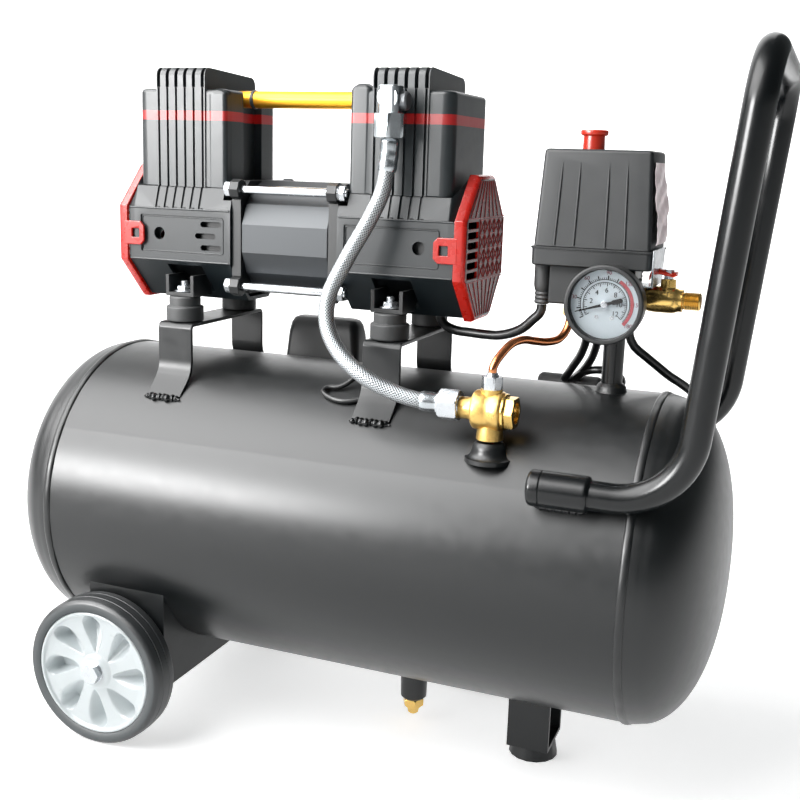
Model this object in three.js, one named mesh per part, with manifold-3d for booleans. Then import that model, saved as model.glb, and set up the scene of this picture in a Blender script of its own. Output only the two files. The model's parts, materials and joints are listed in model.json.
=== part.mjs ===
// Portable oil-free air compressor: a two-cylinder pump on a wheeled horizontal tank.
// Millimetres, +Z up, +X towards the handle, -Y the front; the origin is on the floor,
// under the middle of the object.
import * as THREE from "three";
import { mergeVertices } from "three/addons/utils/BufferGeometryUtils.js";
import Module from "manifold-3d";

const wasm = await Module();
wasm.setup();

// ---------- driving dimensions ----------
const GAP = 0.3; // between pieces that touch
const TANK = { radius: 125, half: 232, dome: 58, wall: 2.5, bead: 1.4, ground: 57, sides: 36 };
const WHEEL = { radius: 61.5, rim: 50, width: 27, bore: 5.4, tuck: 11, fromSeam: 52, hub: 15, petals: 8 };
const AXLE = { radius: 5, head: 8.5, headLength: 4, innerHead: 9 };
const BRACKET = { width: 31, thick: 3, half: 60, rise: 31, flare: 18 };
const WHEEL_BRACKET = { thick: 3, fromWheel: 2, webFromAxle: 49, below: 12, above: 75 };
const FOOT = { fromSeam: 82, half: 17, width: 44, pad: 20, padHeight: 12, plate: 3 };
const MOUNT = {
  x: 90.5, y: 44, lower: 15, lowerHeight: 12, upper: 13, upperHeight: 8, stud: 4, nut: 6.8, nutHeight: 5.5,
};
const PUMP = { x: -60.5, shaftRise: 48.9, footPlate: 3, footHalf: 13, footInner: 24, footOuter: 8 };
const HEAD = {
  x: 93.5, width: 82, depth: 84, round: 9, bottom: 38.3, top: 114, wall: 3, notch: 7, notchHalf: 15,
};
const RIDGE = { half: 20, back: 4, rise: 16.5, round: 6, grooves: 6, pitch: 8, groove: 1.6 };
const FLANGE = { inner: 38, thick: 8, half: 45, earY: 43, earZ: 38, ear: 8 };
const COVER = { inner: GAP, outer: 140.5, halfY: 47.7, halfZ: 52.7, flatY: 17, flatZ: 21, wall: 3 };
const GUARD = { length: 9.5, halfY: 50, halfZ: 55, flatY: 18.5, flatZ: 22, wall: 3, face: 2.4, tab: 15.3 };
const ROD = { radius: 3.5, head: 6, headLength: 5 };
const STATOR = { half: 37.5, bore: 27, reach: 45, shoulder: 38, cheek: 27, flat: 11 };
const SHAFT = { radius: 6, half: 137, rotor: 26, rotorHalf: 34 };
const CRANK = { throw: 6, radius: 12, width: 12, rodWidth: 10, eye: 17, length: 77 };
const CYLINDER = { clear: 3.5, wall: 3.5, standOff: 4, height: 43.7 };
const CYL_HEAD = { clear: 11, height: 24 };
const FAN = { radius: 34, inner: 126, outer: 137, hub: 10, blades: 7 };
const BEARING = { radius: 13, width: 7 };
const TRANSFER = { radius: 6.75, height: 108.5 };
const HANDLE = {
  radius: 10, sleeveWall: 2.5, out: 13.1, angle: 33.39, sleeve: 43, fromSeam: 26, insert: 36,
  run: 59.5, lean: 26.8, height: 286, lowBend: 50, topBend: 34,
};
const PIPE = { fromSeam: 39, radius: 7.85, boss: 12, bossHeight: 6, block: 13, length: 52, blockHeight: 26 };
const SWITCH = {
  left: 57, right: 26, front: 30, back: 34, rise: 23, height: 69, draft: 3.7, wall: 2,
  tray: 14, lip: 2, knobLeft: 25, knob: 8.2, knobTop: 14, depth: 42,
};
const GLAND = {
  cableLeft: 53.5, cableY: -14, cordRight: 7, cordY: 22, radius: 5.4, cordRadius: 6, cordDrop: 30,
};
const GAUGE = { radius: 28, dial: 24.5, length: 21, stem: 20, up: 12, needle: 20, rest: 17 };
const CHECK_VALVE = { fromSeam: 106, y: -88, radius: 14.2, rise: 30.7, boss: 14, bossRise: 8.2 };
const OUTLET = { out: 24.5, up: 13, radius: 9, nut: 10.5, tail: 6.8, bore: 4.2, stem: 13 };
const DRAIN = { x: 43.7, boss: 12, bossDrop: 32, plugDrop: 14.8, thread: 6 };
const ELBOW = { x: -1.5, out: 16, rise: 107.5, drop: 28, body: 8.2, nut: 12 };
const BOX = { left: 57.5, right: 18.5, front: 62, back: 96, low: 17, high: 25 };
const CORD = {
  radius: 3.4, coilMiddle: 38, coilX: 70, coilY: 140, coilHalf: 10.5, coilHeight: 14, reliefLow: 169,
};
const PLUG = { x: -4, y: 178, z: 10.5, length: 34, half: 13, pin: 2.4, pinPitch: 19, pinLength: 19 };

// ---------- places worked out from them ----------
// The origin sits under the middle of what the domes and the handle reach to.
const handleX = {
  end: TANK.half - HANDLE.fromSeam - HANDLE.insert, sleeve: TANK.half - HANDLE.fromSeam - HANDLE.sleeve,
  sleeveEnd: TANK.half - HANDLE.fromSeam, foot: TANK.half - HANDLE.fromSeam + HANDLE.run,
};
handleX.top = handleX.foot + HANDLE.lean;
const handleOut = TANK.radius + HANDLE.out;
const handleY = handleOut * Math.cos(THREE.MathUtils.degToRad(HANDLE.angle));
const handleZ = handleOut * Math.sin(THREE.MathUtils.degToRad(HANDLE.angle));
const tankX = -(handleX.top + HANDLE.radius - TANK.half - TANK.dome) / 2;
const axisZ = TANK.radius + TANK.ground; // tank axis above the floor
const onTank = (y) => Math.sqrt(TANK.radius ** 2 - y ** 2); // height of the tank's shell at a distance y
const wheelX = WHEEL.fromSeam - TANK.half;
const wheelInner = TANK.radius - WHEEL.tuck;
const axleZ = WHEEL.radius - axisZ;
const bracketTop = TANK.radius + BRACKET.rise;
const mountSeat = bracketTop + MOUNT.lowerHeight + MOUNT.upperHeight + 2 * GAP; // under the pump's feet
const pumpZ = mountSeat + PUMP.shaftRise;
const flangeOuter = FLANGE.inner + FLANGE.thick;
const coverInner = flangeOuter + COVER.inner;
const guardOuter = COVER.outer + GUARD.length;
const headHalf = HEAD.depth / 2;
const ridgeTop = HEAD.top + RIDGE.rise;
// The cylinder and its head fill what the shroud leaves.
const cylinderBore = HEAD.width / 2 - HEAD.notch - CYLINDER.wall - CYLINDER.clear;
const headBlock = HEAD.width / 2 - HEAD.wall - CYL_HEAD.clear;
const cylinderBottom = HEAD.bottom + CYLINDER.standOff;
const cylinderTop = cylinderBottom + CYLINDER.height;
const pipeX = TANK.half - PIPE.fromSeam;
const bossTop = TANK.radius + PIPE.bossHeight;
const blockLow = bossTop + PIPE.length;
const blockTop = blockLow + PIPE.blockHeight;
const cased = {
  x0: pipeX - SWITCH.left, x1: pipeX + SWITCH.right, y0: -SWITCH.front, y1: SWITCH.back,
  bottom: blockTop + SWITCH.rise, top: blockTop + SWITCH.rise + SWITCH.height,
};
const underSwitch = cased.bottom - SWITCH.depth;
const gaugeZ = blockLow + GAUGE.up;
const gaugeBack = -PIPE.block - GAUGE.stem;
const gaugeFront = gaugeBack - GAUGE.length;
const outletX = pipeX + OUTLET.out;
const outletZ = blockLow + OUTLET.up;
const check = { x: TANK.half - CHECK_VALVE.fromSeam, y: CHECK_VALVE.y, shell: onTank(CHECK_VALVE.y) };
check.z = check.shell + CHECK_VALVE.rise;
const drainBossLow = TANK.radius + DRAIN.bossDrop;
const elbow = { x: PUMP.x + HEAD.x + ELBOW.x, y: -headHalf - ELBOW.out, z: pumpZ + ELBOW.rise };
elbow.nutLow = elbow.z - ELBOW.drop;

// ---------- materials ----------
const paint = (color, roughness = 0.4, metalness = 0) =>
  new THREE.MeshStandardMaterial({ color, roughness, metalness });
const M = {
  black: paint(0x15171a, 0.35, 0.2), plastic: paint(0x1b1d20, 0.5), rubber: paint(0x101012, 0.8),
  tyre: paint(0x3a3c3e, 0.85), white: paint(0xf2f2f0, 0.3), red: paint(0xe02a12, 0.35),
  gold: paint(0xe09a10, 0.25, 0.9), steel: paint(0xc8cacc, 0.3, 1), brass: paint(0xb98a35, 0.3, 1),
  copper: paint(0xb8622f, 0.3, 1), aluminium: paint(0x9fa3a6, 0.45, 0.9),
};

// ---------- shape helpers ----------
const plain = (g) => {
  const flat = g.index ? g.toNonIndexed() : g;
  for (const name of Object.keys(flat.attributes)) if (name !== "position") flat.deleteAttribute(name);
  return flat;
};
const solid = (g) => {
  const m = mergeVertices(plain(g), 1e-4);
  const mesh = new wasm.Mesh({
    numProp: 3,
    vertProperties: new Float32Array(m.attributes.position.array),
    triVerts: new Uint32Array(m.index.array),
  });
  return new wasm.Manifold(mesh);
};
const geometryOf = (m) => {
  const mesh = m.getMesh();
  const g = new THREE.BufferGeometry();
  g.setAttribute("position", new THREE.BufferAttribute(new Float32Array(mesh.vertProperties), 3));
  g.setIndex(new THREE.BufferAttribute(new Uint32Array(mesh.triVerts), 1));
  return g;
};
const join = (...parts) => geometryOf(parts.map(solid).reduce((a, b) => a.add(b)));
const cut = (body, ...tools) => geometryOf(tools.map(solid).reduce((a, b) => a.subtract(b), solid(body)));

const box = (x0, x1, y0, y1, z0, z1) =>
  new THREE.BoxGeometry(Math.abs(x1 - x0), Math.abs(y1 - y0), Math.abs(z1 - z0))
    .translate((x0 + x1) / 2, (y0 + y1) / 2, (z0 + z1) / 2);
const rodY = (r, x, z, y0, y1, n = 16, r2 = r) =>
  new THREE.CylinderGeometry(r2, r, Math.abs(y1 - y0), n).translate(x, (y0 + y1) / 2, z);
const rodX = (r, y, z, x0, x1, n = 16) =>
  new THREE.CylinderGeometry(r, r, Math.abs(x1 - x0), n).rotateZ(-Math.PI / 2)
    .translate((x0 + x1) / 2, y, z);
const rodZ = (r, x, y, z0, z1, n = 16, top = r) =>
  new THREE.CylinderGeometry(top, r, z1 - z0, n).rotateX(Math.PI / 2).translate(x, y, (z0 + z1) / 2);
const outline = (points) => new THREE.Shape(points.map(([a, b]) => new THREE.Vector2(a, b)));
const extruded = (shape, length) =>
  new THREE.ExtrudeGeometry(shape, { depth: length, bevelEnabled: false, curveSegments: 1 });
// An outline of (y, z) points carried along X.
const prismX = (points, x0, x1) =>
  extruded(outline(points), Math.abs(x1 - x0)).rotateX(Math.PI / 2).rotateZ(Math.PI / 2)
    .translate(Math.min(x0, x1), 0, 0);
// An outline of (x, z) points carried along Y.
const prismY = (points, y0, y1) =>
  extruded(outline(points), y1 - y0).rotateX(Math.PI / 2).translate(0, y1, 0);
const roundedRect = (x0, x1, y0, y1, r) => {
  const s = new THREE.Shape();
  s.absarc(x1 - r, y0 + r, r, -Math.PI / 2, 0);
  s.absarc(x1 - r, y1 - r, r, 0, Math.PI / 2);
  s.absarc(x0 + r, y1 - r, r, Math.PI / 2, Math.PI);
  s.absarc(x0 + r, y0 + r, r, Math.PI, Math.PI * 1.5);
  return s;
};
const roundedBox = (x0, x1, y0, y1, z0, z1, r) =>
  extruded(roundedRect(x0, x1, y0, y1, r), z1 - z0).translate(0, 0, z0);
// A profile of (radius, height) points turned about Z.
const turned = (points, n = 24) =>
  new THREE.LatheGeometry(points.map(([r, h]) => new THREE.Vector2(r, h)), n).rotateX(Math.PI / 2);
const octagon = (halfY, halfZ, flatY, flatZ) => [
  [-halfY, -flatZ], [-flatY, -halfZ], [flatY, -halfZ], [halfY, -flatZ],
  [halfY, flatZ], [flatY, halfZ], [-flatY, halfZ], [-halfY, flatZ],
];
const tube = (curve, radius, sides, steps) => {
  const ring = new THREE.Shape();
  ring.absarc(0, 0, radius, 0, Math.PI * 2);
  return new THREE.ExtrudeGeometry(ring, { steps, curveSegments: sides / 2, extrudePath: curve });
};
const smooth = (points) =>
  new THREE.CatmullRomCurve3(points.map((p) => new THREE.Vector3(...p)), false, "centripetal");
// A bent bar's centre line: straight runs joined by arcs of the given radii.
const bent = (corners, radii) => {
  const path = new THREE.CurvePath();
  const at = corners.map((p) => new THREE.Vector3(...p));
  let start = at[0];
  for (let i = 1; i < at.length - 1; i += 1) {
    const back = at[i - 1].clone().sub(at[i]).normalize();
    const on = at[i + 1].clone().sub(at[i]).normalize();
    const half = back.angleTo(on) / 2;
    const reach = radii[i - 1] / Math.tan(half);
    const centre = back.clone().add(on).normalize().multiplyScalar(radii[i - 1] / Math.sin(half)).add(at[i]);
    const from = back.clone().multiplyScalar(reach).add(at[i]);
    const to = on.clone().multiplyScalar(reach).add(at[i]);
    path.add(new THREE.LineCurve3(start, from));
    const a = from.clone().sub(centre);
    const b = to.clone().sub(centre);
    const sweep = a.angleTo(b);
    const pieces = Math.max(2, Math.round(sweep / 0.35));
    let last = from;
    for (let k = 1; k <= pieces; k += 1) {
      const t = (k / pieces) * sweep;
      const p = a.clone().multiplyScalar(Math.sin(sweep - t)).add(b.clone().multiplyScalar(Math.sin(t)))
        .divideScalar(Math.sin(sweep)).add(centre);
      path.add(new THREE.LineCurve3(last, p));
      last = p;
    }
    start = to;
  }
  path.add(new THREE.LineCurve3(start, at[at.length - 1]));
  return path;
};
const range = (n) => Array.from({ length: n }, (_, i) => i);
const ordered = (a, b) => [Math.min(a, b), Math.max(a, b)];

// ---------- the assembly ----------
const compressor = new THREE.Group();
const tankFrame = new THREE.Group(); // origin on the tank's axis, half-way along it
tankFrame.position.set(tankX, 0, axisZ);
compressor.add(tankFrame);
const pumpFrame = new THREE.Group(); // origin on the shaft, half-way along the motor
pumpFrame.position.set(PUMP.x, 0, pumpZ);
tankFrame.add(pumpFrame);
const place = (name, geometry, material, parent = tankFrame) => {
  const mesh = new THREE.Mesh(geometry, material);
  mesh.name = name;
  parent.add(mesh);
  return mesh;
};
const tankBody = (radius) => rodX(radius, 0, 0, -TANK.half - 2, TANK.half + 2, TANK.sides);

// The tank: a rolled shell with two dished ends, ports, and the sleeves that hold the handle.
function tank() {
  const crown = 2 / 2.3; // the dished end's section is a superellipse of power 2.3
  const dished = (radius, depth, steps) =>
    range(steps + 1).map((i) => {
      const a = ((1 - i / steps) * Math.PI) / 2;
      return [radius * Math.sin(a) ** crown, TANK.half + depth * Math.cos(a) ** crown];
    });
  const bead = [[TANK.radius, -3], [TANK.radius + TANK.bead, -1.5], [TANK.radius + TANK.bead, 1.5],
    [TANK.radius, 3]].map(([r, h]) => [r, TANK.half + h]);
  const shell = (radius, depth, seam, steps) => {
    const dome = dished(radius, depth, steps).filter(([, h]) => !seam.length || h > seam[3][1]);
    const right = [...seam, ...dome];
    const left = right.map(([r, h]) => [r, -h]).reverse();
    const profile = [...left, ...right];
    profile[0][0] = 0;
    profile[profile.length - 1][0] = 0;
    return turned(profile, TANK.sides).rotateY(Math.PI / 2);
  };
  const outer = shell(TANK.radius, TANK.dome, bead, 6);
  const inner = shell(TANK.radius - TANK.wall, TANK.dome - TANK.wall, [], 4);
  const up = Math.atan2(handleZ, handleY);
  const sleeves = [-1, 1].flatMap((side) => {
    const weld = new THREE.BoxGeometry(HANDLE.sleeve - 9, HANDLE.out - 5, 5).rotateX(up)
      .translate((handleX.sleeve + handleX.sleeveEnd) / 2, Math.cos(up) * TANK.radius,
        Math.sin(up) * TANK.radius);
    if (side < 0) weld.rotateX(Math.PI - 2 * up);
    const sleeve = rodX(HANDLE.radius + HANDLE.sleeveWall, side * handleY, handleZ,
      handleX.sleeve, handleX.sleeveEnd, 16);
    return [sleeve, weld];
  });
  const handleBores = [-1, 1].map((side) =>
    rodX(HANDLE.radius + GAP, side * handleY, handleZ, handleX.end - GAP, handleX.sleeveEnd + 1, 16));
  const outside = join(outer, ...sleeves,
    rodZ(PIPE.boss, pipeX, 0, TANK.radius - 4, bossTop, 12, PIPE.boss - 2.5),
    rodZ(CHECK_VALVE.boss, check.x, check.y, check.shell - 18, check.shell + CHECK_VALVE.bossRise, 12,
      CHECK_VALVE.boss - 3),
    rodZ(DRAIN.boss, DRAIN.x, 0, -drainBossLow, 4 - TANK.radius, 12));
  return cut(outside, inner, ...handleBores,
    rodZ(5.5, pipeX, 0, TANK.radius - 15, bossTop + 9, 8),
    rodZ(4, check.x, check.y, check.shell - 28, check.z, 8),
    rodZ(DRAIN.thread + GAP, DRAIN.x, 0, -drainBossLow - 3, 15 - TANK.radius, 12));
}
place("tank", tank(), M.black);

// The handle: one bent tube whose two ends sit in the tank's sleeves.
const handleCorners = [-1, 1].map((side) => [[handleX.end, side * handleY, handleZ],
  [handleX.foot, side * handleY, handleZ], [handleX.top, side * handleY, handleZ + HANDLE.height]]);
const handleLine = bent([...handleCorners[0], ...handleCorners[1].reverse()],
  [HANDLE.lowBend, HANDLE.topBend, HANDLE.topBend, HANDLE.lowBend]);
place("handle", tube(handleLine, HANDLE.radius, 10, 46), M.black);

// ---------- wheels, their bracket and the front foot ----------
function wheelHub() {
  const w = WHEEL.width;
  const dish = w - 5; // the face lies this far out, inside the rim and round the hub
  const rim = turned([[WHEEL.bore, 0], [WHEEL.rim, 0], [WHEEL.rim, w - 3], [WHEEL.rim - 4, w - 2],
    [WHEEL.rim - 6, dish], [WHEEL.hub, dish], [WHEEL.hub, w], [WHEEL.bore, w], [WHEEL.bore, 0]], 24);
  const from = WHEEL.hub + 4;
  const to = WHEEL.rim - 9.5;
  const petals = range(WHEEL.petals).map((i) => {
    const petal = outline([[from, -2.5], [to - 4.5, -8.5], [to, -4], [to - 0.5, 6], [from, 2.5]]);
    return extruded(petal, 9).rotateZ((i * 2 * Math.PI) / WHEEL.petals).translate(0, 0, w - 12);
  });
  return cut(rim, ...petals);
}
function tyre() {
  const w = WHEEL.width;
  const inner = WHEEL.rim + GAP;
  return turned([[inner, 0.5], [WHEEL.radius - 4, 0.5], [WHEEL.radius, 5], [WHEEL.radius, w - 5],
    [WHEEL.radius - 4, w - 0.5], [inner, w - 0.5], [inner, 0.5]], 32);
}
const bracketOut = wheelInner - WHEEL_BRACKET.fromWheel;
function wheelBracket() {
  const { thick, webFromAxle, below, above } = WHEEL_BRACKET;
  const web = wheelX + webFromAxle;
  const low = -TANK.radius - below;
  const high = above - TANK.radius;
  const flange = [[web, high], [wheelX - 22, high], [wheelX - 20, axleZ], [wheelX - 12, axleZ - 12],
    [wheelX + 8, axleZ - 14], [web, low]];
  const sides = [-1, 1].map((side) =>
    prismY(flange, ...ordered(side * bracketOut, side * (bracketOut - thick))));
  const body = join(...sides, box(web - thick, web, -bracketOut, bracketOut, low, high));
  return cut(body, tankBody(TANK.radius + GAP),
    rodY(AXLE.radius + GAP, wheelX, axleZ, -wheelInner, wheelInner));
}
function axleBolt() {
  const from = bracketOut - WHEEL_BRACKET.thick;
  const face = wheelInner + WHEEL.width;
  return join(turned([[0, from - AXLE.innerHead], [AXLE.head, from - AXLE.innerHead], [AXLE.head, from - GAP],
    [AXLE.radius, from - GAP], [AXLE.radius, face + GAP], [AXLE.head, face + GAP],
    [AXLE.head, face + AXLE.headLength], [0, face + AXLE.headLength]], 6),
  turned([[0, from - 1], [AXLE.radius, from - 1], [AXLE.radius, face + 1], [0, face + 1]], 10));
}
place("wheel_bracket", wheelBracket(), M.black);
for (const [where, side] of [["front", -1], ["rear", 1]]) {
  const wheel = new THREE.Group();
  wheel.position.set(wheelX, 0, axleZ);
  wheel.rotation.x = (side * -Math.PI) / 2;
  tankFrame.add(wheel);
  place(`wheel_hub_${where}`, wheelHub().translate(0, 0, wheelInner), M.white, wheel);
  place(`tyre_${where}`, tyre().translate(0, 0, wheelInner), M.tyre, wheel);
  place(`axle_bolt_${where}`, axleBolt(), M.steel, wheel);
}
function frontFoot() {
  const { half, width, pad, padHeight, plate } = FOOT;
  const x = TANK.half - FOOT.fromSeam;
  const top = 6 - TANK.radius;
  const plateZ = padHeight - axisZ;
  const legs = [-1, 1].map((s) =>
    box(x - half, x + half, (s * width) / 2, s * (width / 2 - plate), plateZ, top));
  const body = join(...legs, box(x - half, x + half, -width / 2, width / 2, plateZ, plateZ + plate),
    rodZ(pad, x, 0, -axisZ, plateZ + 1, 16, pad - 2.5));
  return cut(body, tankBody(TANK.radius + GAP));
}
place("front_foot", frontFoot(), M.black);

// ---------- pump brackets and rubber mounts ----------
function pumpBracket() {
  const { width, thick, half, flare } = BRACKET;
  const knee = onTank(half);
  const toe = [half + flare, knee - 26];
  const side = [[half, bracketTop], [half, knee], toe, [toe[0] - 4, toe[1] - 6], [half - thick, knee - 6],
    [half - thick, bracketTop - thick]];
  const profile = [...side, ...side.map(([y, z]) => [-y, z]).reverse()].reverse();
  return cut(prismX(profile, -width / 2, width / 2), tankBody(TANK.radius + GAP));
}
function rubberMount() {
  const { lower, lowerHeight, upper, upperHeight, stud, nut, nutHeight } = MOUNT;
  const step = GAP + lowerHeight;
  const top = step + upperHeight;
  const nutLow = top + PUMP.footPlate + 2 * GAP;
  const studTop = nutLow + nutHeight + 3.5;
  return join(turned([[0, GAP], [lower, GAP], [lower, step], [upper, step + 0.5], [upper, top], [stud, top],
    [stud, studTop], [0, studTop]], 12), rodZ(nut, 0, 0, nutLow, nutLow + nutHeight, 6));
}
for (const [where, side] of [["left", -1], ["right", 1]]) {
  const x = PUMP.x + side * MOUNT.x;
  place(`pump_bracket_${where}`, pumpBracket().translate(x, 0, 0), M.black);
  for (const [end, sideY] of [["front", -1], ["rear", 1]])
    place(`rubber_mount_${where}_${end}`, rubberMount().translate(x, sideY * MOUNT.y, bracketTop), M.rubber);
}

// ---------- motor ----------
function stator() {
  const { reach, shoulder, cheek, flat } = STATOR;
  const corners = [[reach, flat], [shoulder, cheek], [cheek, shoulder], [flat, reach]];
  const quarter = (a, b) => corners.map(([y, z]) => [a * y, b * z]);
  const ring = [...quarter(1, 1), ...quarter(-1, 1).reverse(), ...quarter(-1, -1),
    ...quarter(1, -1).reverse()];
  return cut(prismX(ring, -STATOR.half, STATOR.half),
    rodX(STATOR.bore, 0, 0, -STATOR.half - 1, STATOR.half + 1, 20));
}
// The shaft with its rotor and an eccentric at each end, one up and one down.
function rotorShaft() {
  const eccentrics = [-1, 1].map((side) =>
    rodX(CRANK.radius, 0, -side * CRANK.throw,
      side * (HEAD.x - CRANK.width / 2), side * (HEAD.x + CRANK.width / 2), 16));
  return join(rodX(SHAFT.radius, 0, 0, -SHAFT.half, SHAFT.half, 12),
    rodX(SHAFT.rotor, 0, 0, -SHAFT.rotorHalf, SHAFT.rotorHalf, 20), ...eccentrics);
}
function fan(side) {
  const from = side * FAN.inner;
  const to = side * FAN.outer;
  const blades = range(FAN.blades).map((i) =>
    box(from, to, -0.9, 0.9, 6, FAN.radius - 1).rotateX((i * 2 * Math.PI) / FAN.blades));
  const plate = rodX(FAN.radius, 0, 0, from, from + side * 2, 16);
  const body = join(plate, rodX(FAN.hub, 0, 0, from, to, 10), ...blades);
  return cut(body, rodX(SHAFT.radius + GAP, 0, 0, from - side, to + side, 12));
}
place("stator", stator(), M.aluminium, pumpFrame);
place("rotor_shaft", rotorShaft(), M.steel, pumpFrame);

// ---------- one pump unit, at the left or the right end of the motor ----------
const coverOutline = octagon(COVER.halfY, COVER.halfZ, COVER.flatY, COVER.flatZ);
// Under the head the cover ends in a flat top with short shoulders.
const saddleOutline = () => {
  const { halfY, halfZ, flatY, flatZ } = COVER;
  const shoulder = headHalf + GAP;
  const top = HEAD.bottom - GAP;
  return [[-halfY, -flatZ], [-flatY, -halfZ], [flatY, -halfZ], [halfY, -flatZ], [halfY, flatZ],
    [shoulder, top], [-shoulder, top], [-halfY, flatZ]];
};
const corners = [-1, 1].flatMap((a) => [-1, 1].map((b) => [a, b]));
// The cast crankcase: an open ring behind a flange, two feet, and the cylinder's seat.
function crankcase(side) {
  const { footPlate, footHalf, footInner, footOuter } = PUMP;
  const ringY = COVER.halfY - 6.7; // it clears the cover's wall
  const ringZ = HEAD.bottom - 0.5;
  const flat = 20;
  const thick = 3.5;
  const end = HEAD.x + 26.5;
  const [f0, f1] = ordered(side * FLANGE.inner, side * flangeOuter);
  const [c0, c1] = ordered(side * (flangeOuter - 1), side * end);
  const [h0, h1] = ordered(side * flangeOuter, side * (end + 1));
  const ears = corners.map(([a, b]) => rodX(FLANGE.ear, a * FLANGE.earY, b * FLANGE.earZ, f0, f1, 8));
  const bolts = corners.map(([a, b]) =>
    rodX(ROD.radius + GAP, a * FLANGE.earY, b * FLANGE.earZ, f0 - 1, f1 + 1, 8));
  const plate = prismX(octagon(FLANGE.half, FLANGE.half, 30, 30), f0, f1);
  const seat = -PUMP.shaftRise;
  const x = side * MOUNT.x;
  const feet = [-1, 1].flatMap((a) => [
    box(x - footHalf, x + footHalf, a * footInner, a * (MOUNT.y + footOuter), seat, seat + footPlate),
    ...[-1, 1].map((b) =>
      box(x + b * footHalf, x + b * (footHalf - 3), a * footInner, a * (MOUNT.y + footOuter), seat, seat + 17)),
  ]);
  const studs = [-1, 1].map((a) => rodZ(MOUNT.stud + GAP, x, a * MOUNT.y, seat - 5, seat + 8, 10));
  const mouth = rodZ(cylinderBore - 3, side * HEAD.x, 0, ringZ - thick - 4, cylinderBottom + 8, 16);
  const deckHalf = cylinderBore - 1;
  const deck = box(side * HEAD.x - deckHalf, side * HEAD.x + deckHalf, -deckHalf, deckHalf, ringZ - 2,
    cylinderBottom - GAP);
  const ring = cut(prismX(octagon(ringY, ringZ, flat, flat), c0, c1),
    prismX(octagon(ringY - thick, ringZ - thick, flat - 2, flat - 2), h0, h1));
  return cut(join(ring, plate, ...ears, ...feet, deck), ...bolts, ...studs,
    rodX(BEARING.radius + GAP, 0, 0, f0 - 2, f1 + 2, 16), mouth);
}
// One piece of rod and wobbling piston plate, as oil-free pumps have.
function pistonRod(side) {
  const x = side * HEAD.x;
  const e = -side * CRANK.throw;
  const [r0, r1] = [x - CRANK.rodWidth / 2, x + CRANK.rodWidth / 2];
  const plateZ = e + CRANK.length;
  const body = join(rodX(CRANK.eye, 0, e, r0, r1, 16), box(x - 4, x + 4, -6, 6, e + CRANK.radius, plateZ),
    rodZ(cylinderBore - CRANK.throw - 1, x, 0, plateZ - 2, plateZ + 2, 20));
  return cut(body, rodX(CRANK.radius + GAP, 0, e, r0 - 1, r1 + 1, 16));
}
function cylinder(side) {
  const outer = cylinderBore + CYLINDER.wall;
  return turned([[cylinderBore, cylinderBottom], [outer, cylinderBottom], [outer, cylinderTop],
    [cylinderBore, cylinderTop], [cylinderBore, cylinderBottom]], 24).translate(side * HEAD.x, 0, 0);
}
function cylinderHead(side) {
  const half = headBlock;
  const x = side * HEAD.x;
  const low = cylinderTop + GAP;
  const top = cylinderTop + CYL_HEAD.height;
  const fins = range(5).map((i) => {
    const y = (i - 2) * 10;
    return box(x - half - 3, x + half + 3, y - 1.2, y + 1.2, low, low + 7);
  });
  return join(roundedBox(x - half, x + half, -half, half, low, top - 4, 6),
    roundedBox(x - half, x + half, -12, 12, low, top, 4), ...fins);
}
function headShroud(side) {
  const { width, depth, round, bottom, top, wall, notch, notchHalf } = HEAD;
  const x = side * HEAD.x;
  const inner = x - (side * width) / 2; // the side towards the motor
  const body = (d, low, high) => {
    const block = roundedBox(x - width / 2 + d, x + width / 2 - d, -depth / 2 + d, depth / 2 - d,
      low, high, round - d);
    return cut(block, box(inner - side, inner + side * (notch + d), -notchHalf - d, notchHalf + d,
      low - 1, high + 1));
  };
  const [y0, y1] = [-headHalf, headHalf - RIDGE.back];
  const [r0, r1] = [x - RIDGE.half, x + RIDGE.half];
  const r = RIDGE.round;
  const ridge = join(box(r0, r1, y0 + r, y1 - r, top - 1, ridgeTop), box(r0, r1, y0, y1, top - 1, ridgeTop - r),
    rodX(r, y0 + r, ridgeTop - r, r0, r1, 12), rodX(r, y1 - r, ridgeTop - r, r0, r1, 12));
  const grooves = range(RIDGE.grooves).map((i) => {
    const gx = x + (i - (RIDGE.grooves - 1) / 2) * RIDGE.pitch;
    return box(gx - RIDGE.groove / 2, gx + RIDGE.groove / 2, y0 - 1, y0 + 1.6, bottom - 1, ridgeTop + 1);
  });
  return cut(join(body(0, bottom, top), ridge), body(wall, bottom - 1, top - wall), ...grooves,
    rodX(TRANSFER.radius + GAP, 0, TRANSFER.height, x, inner, 20));
}
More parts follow.
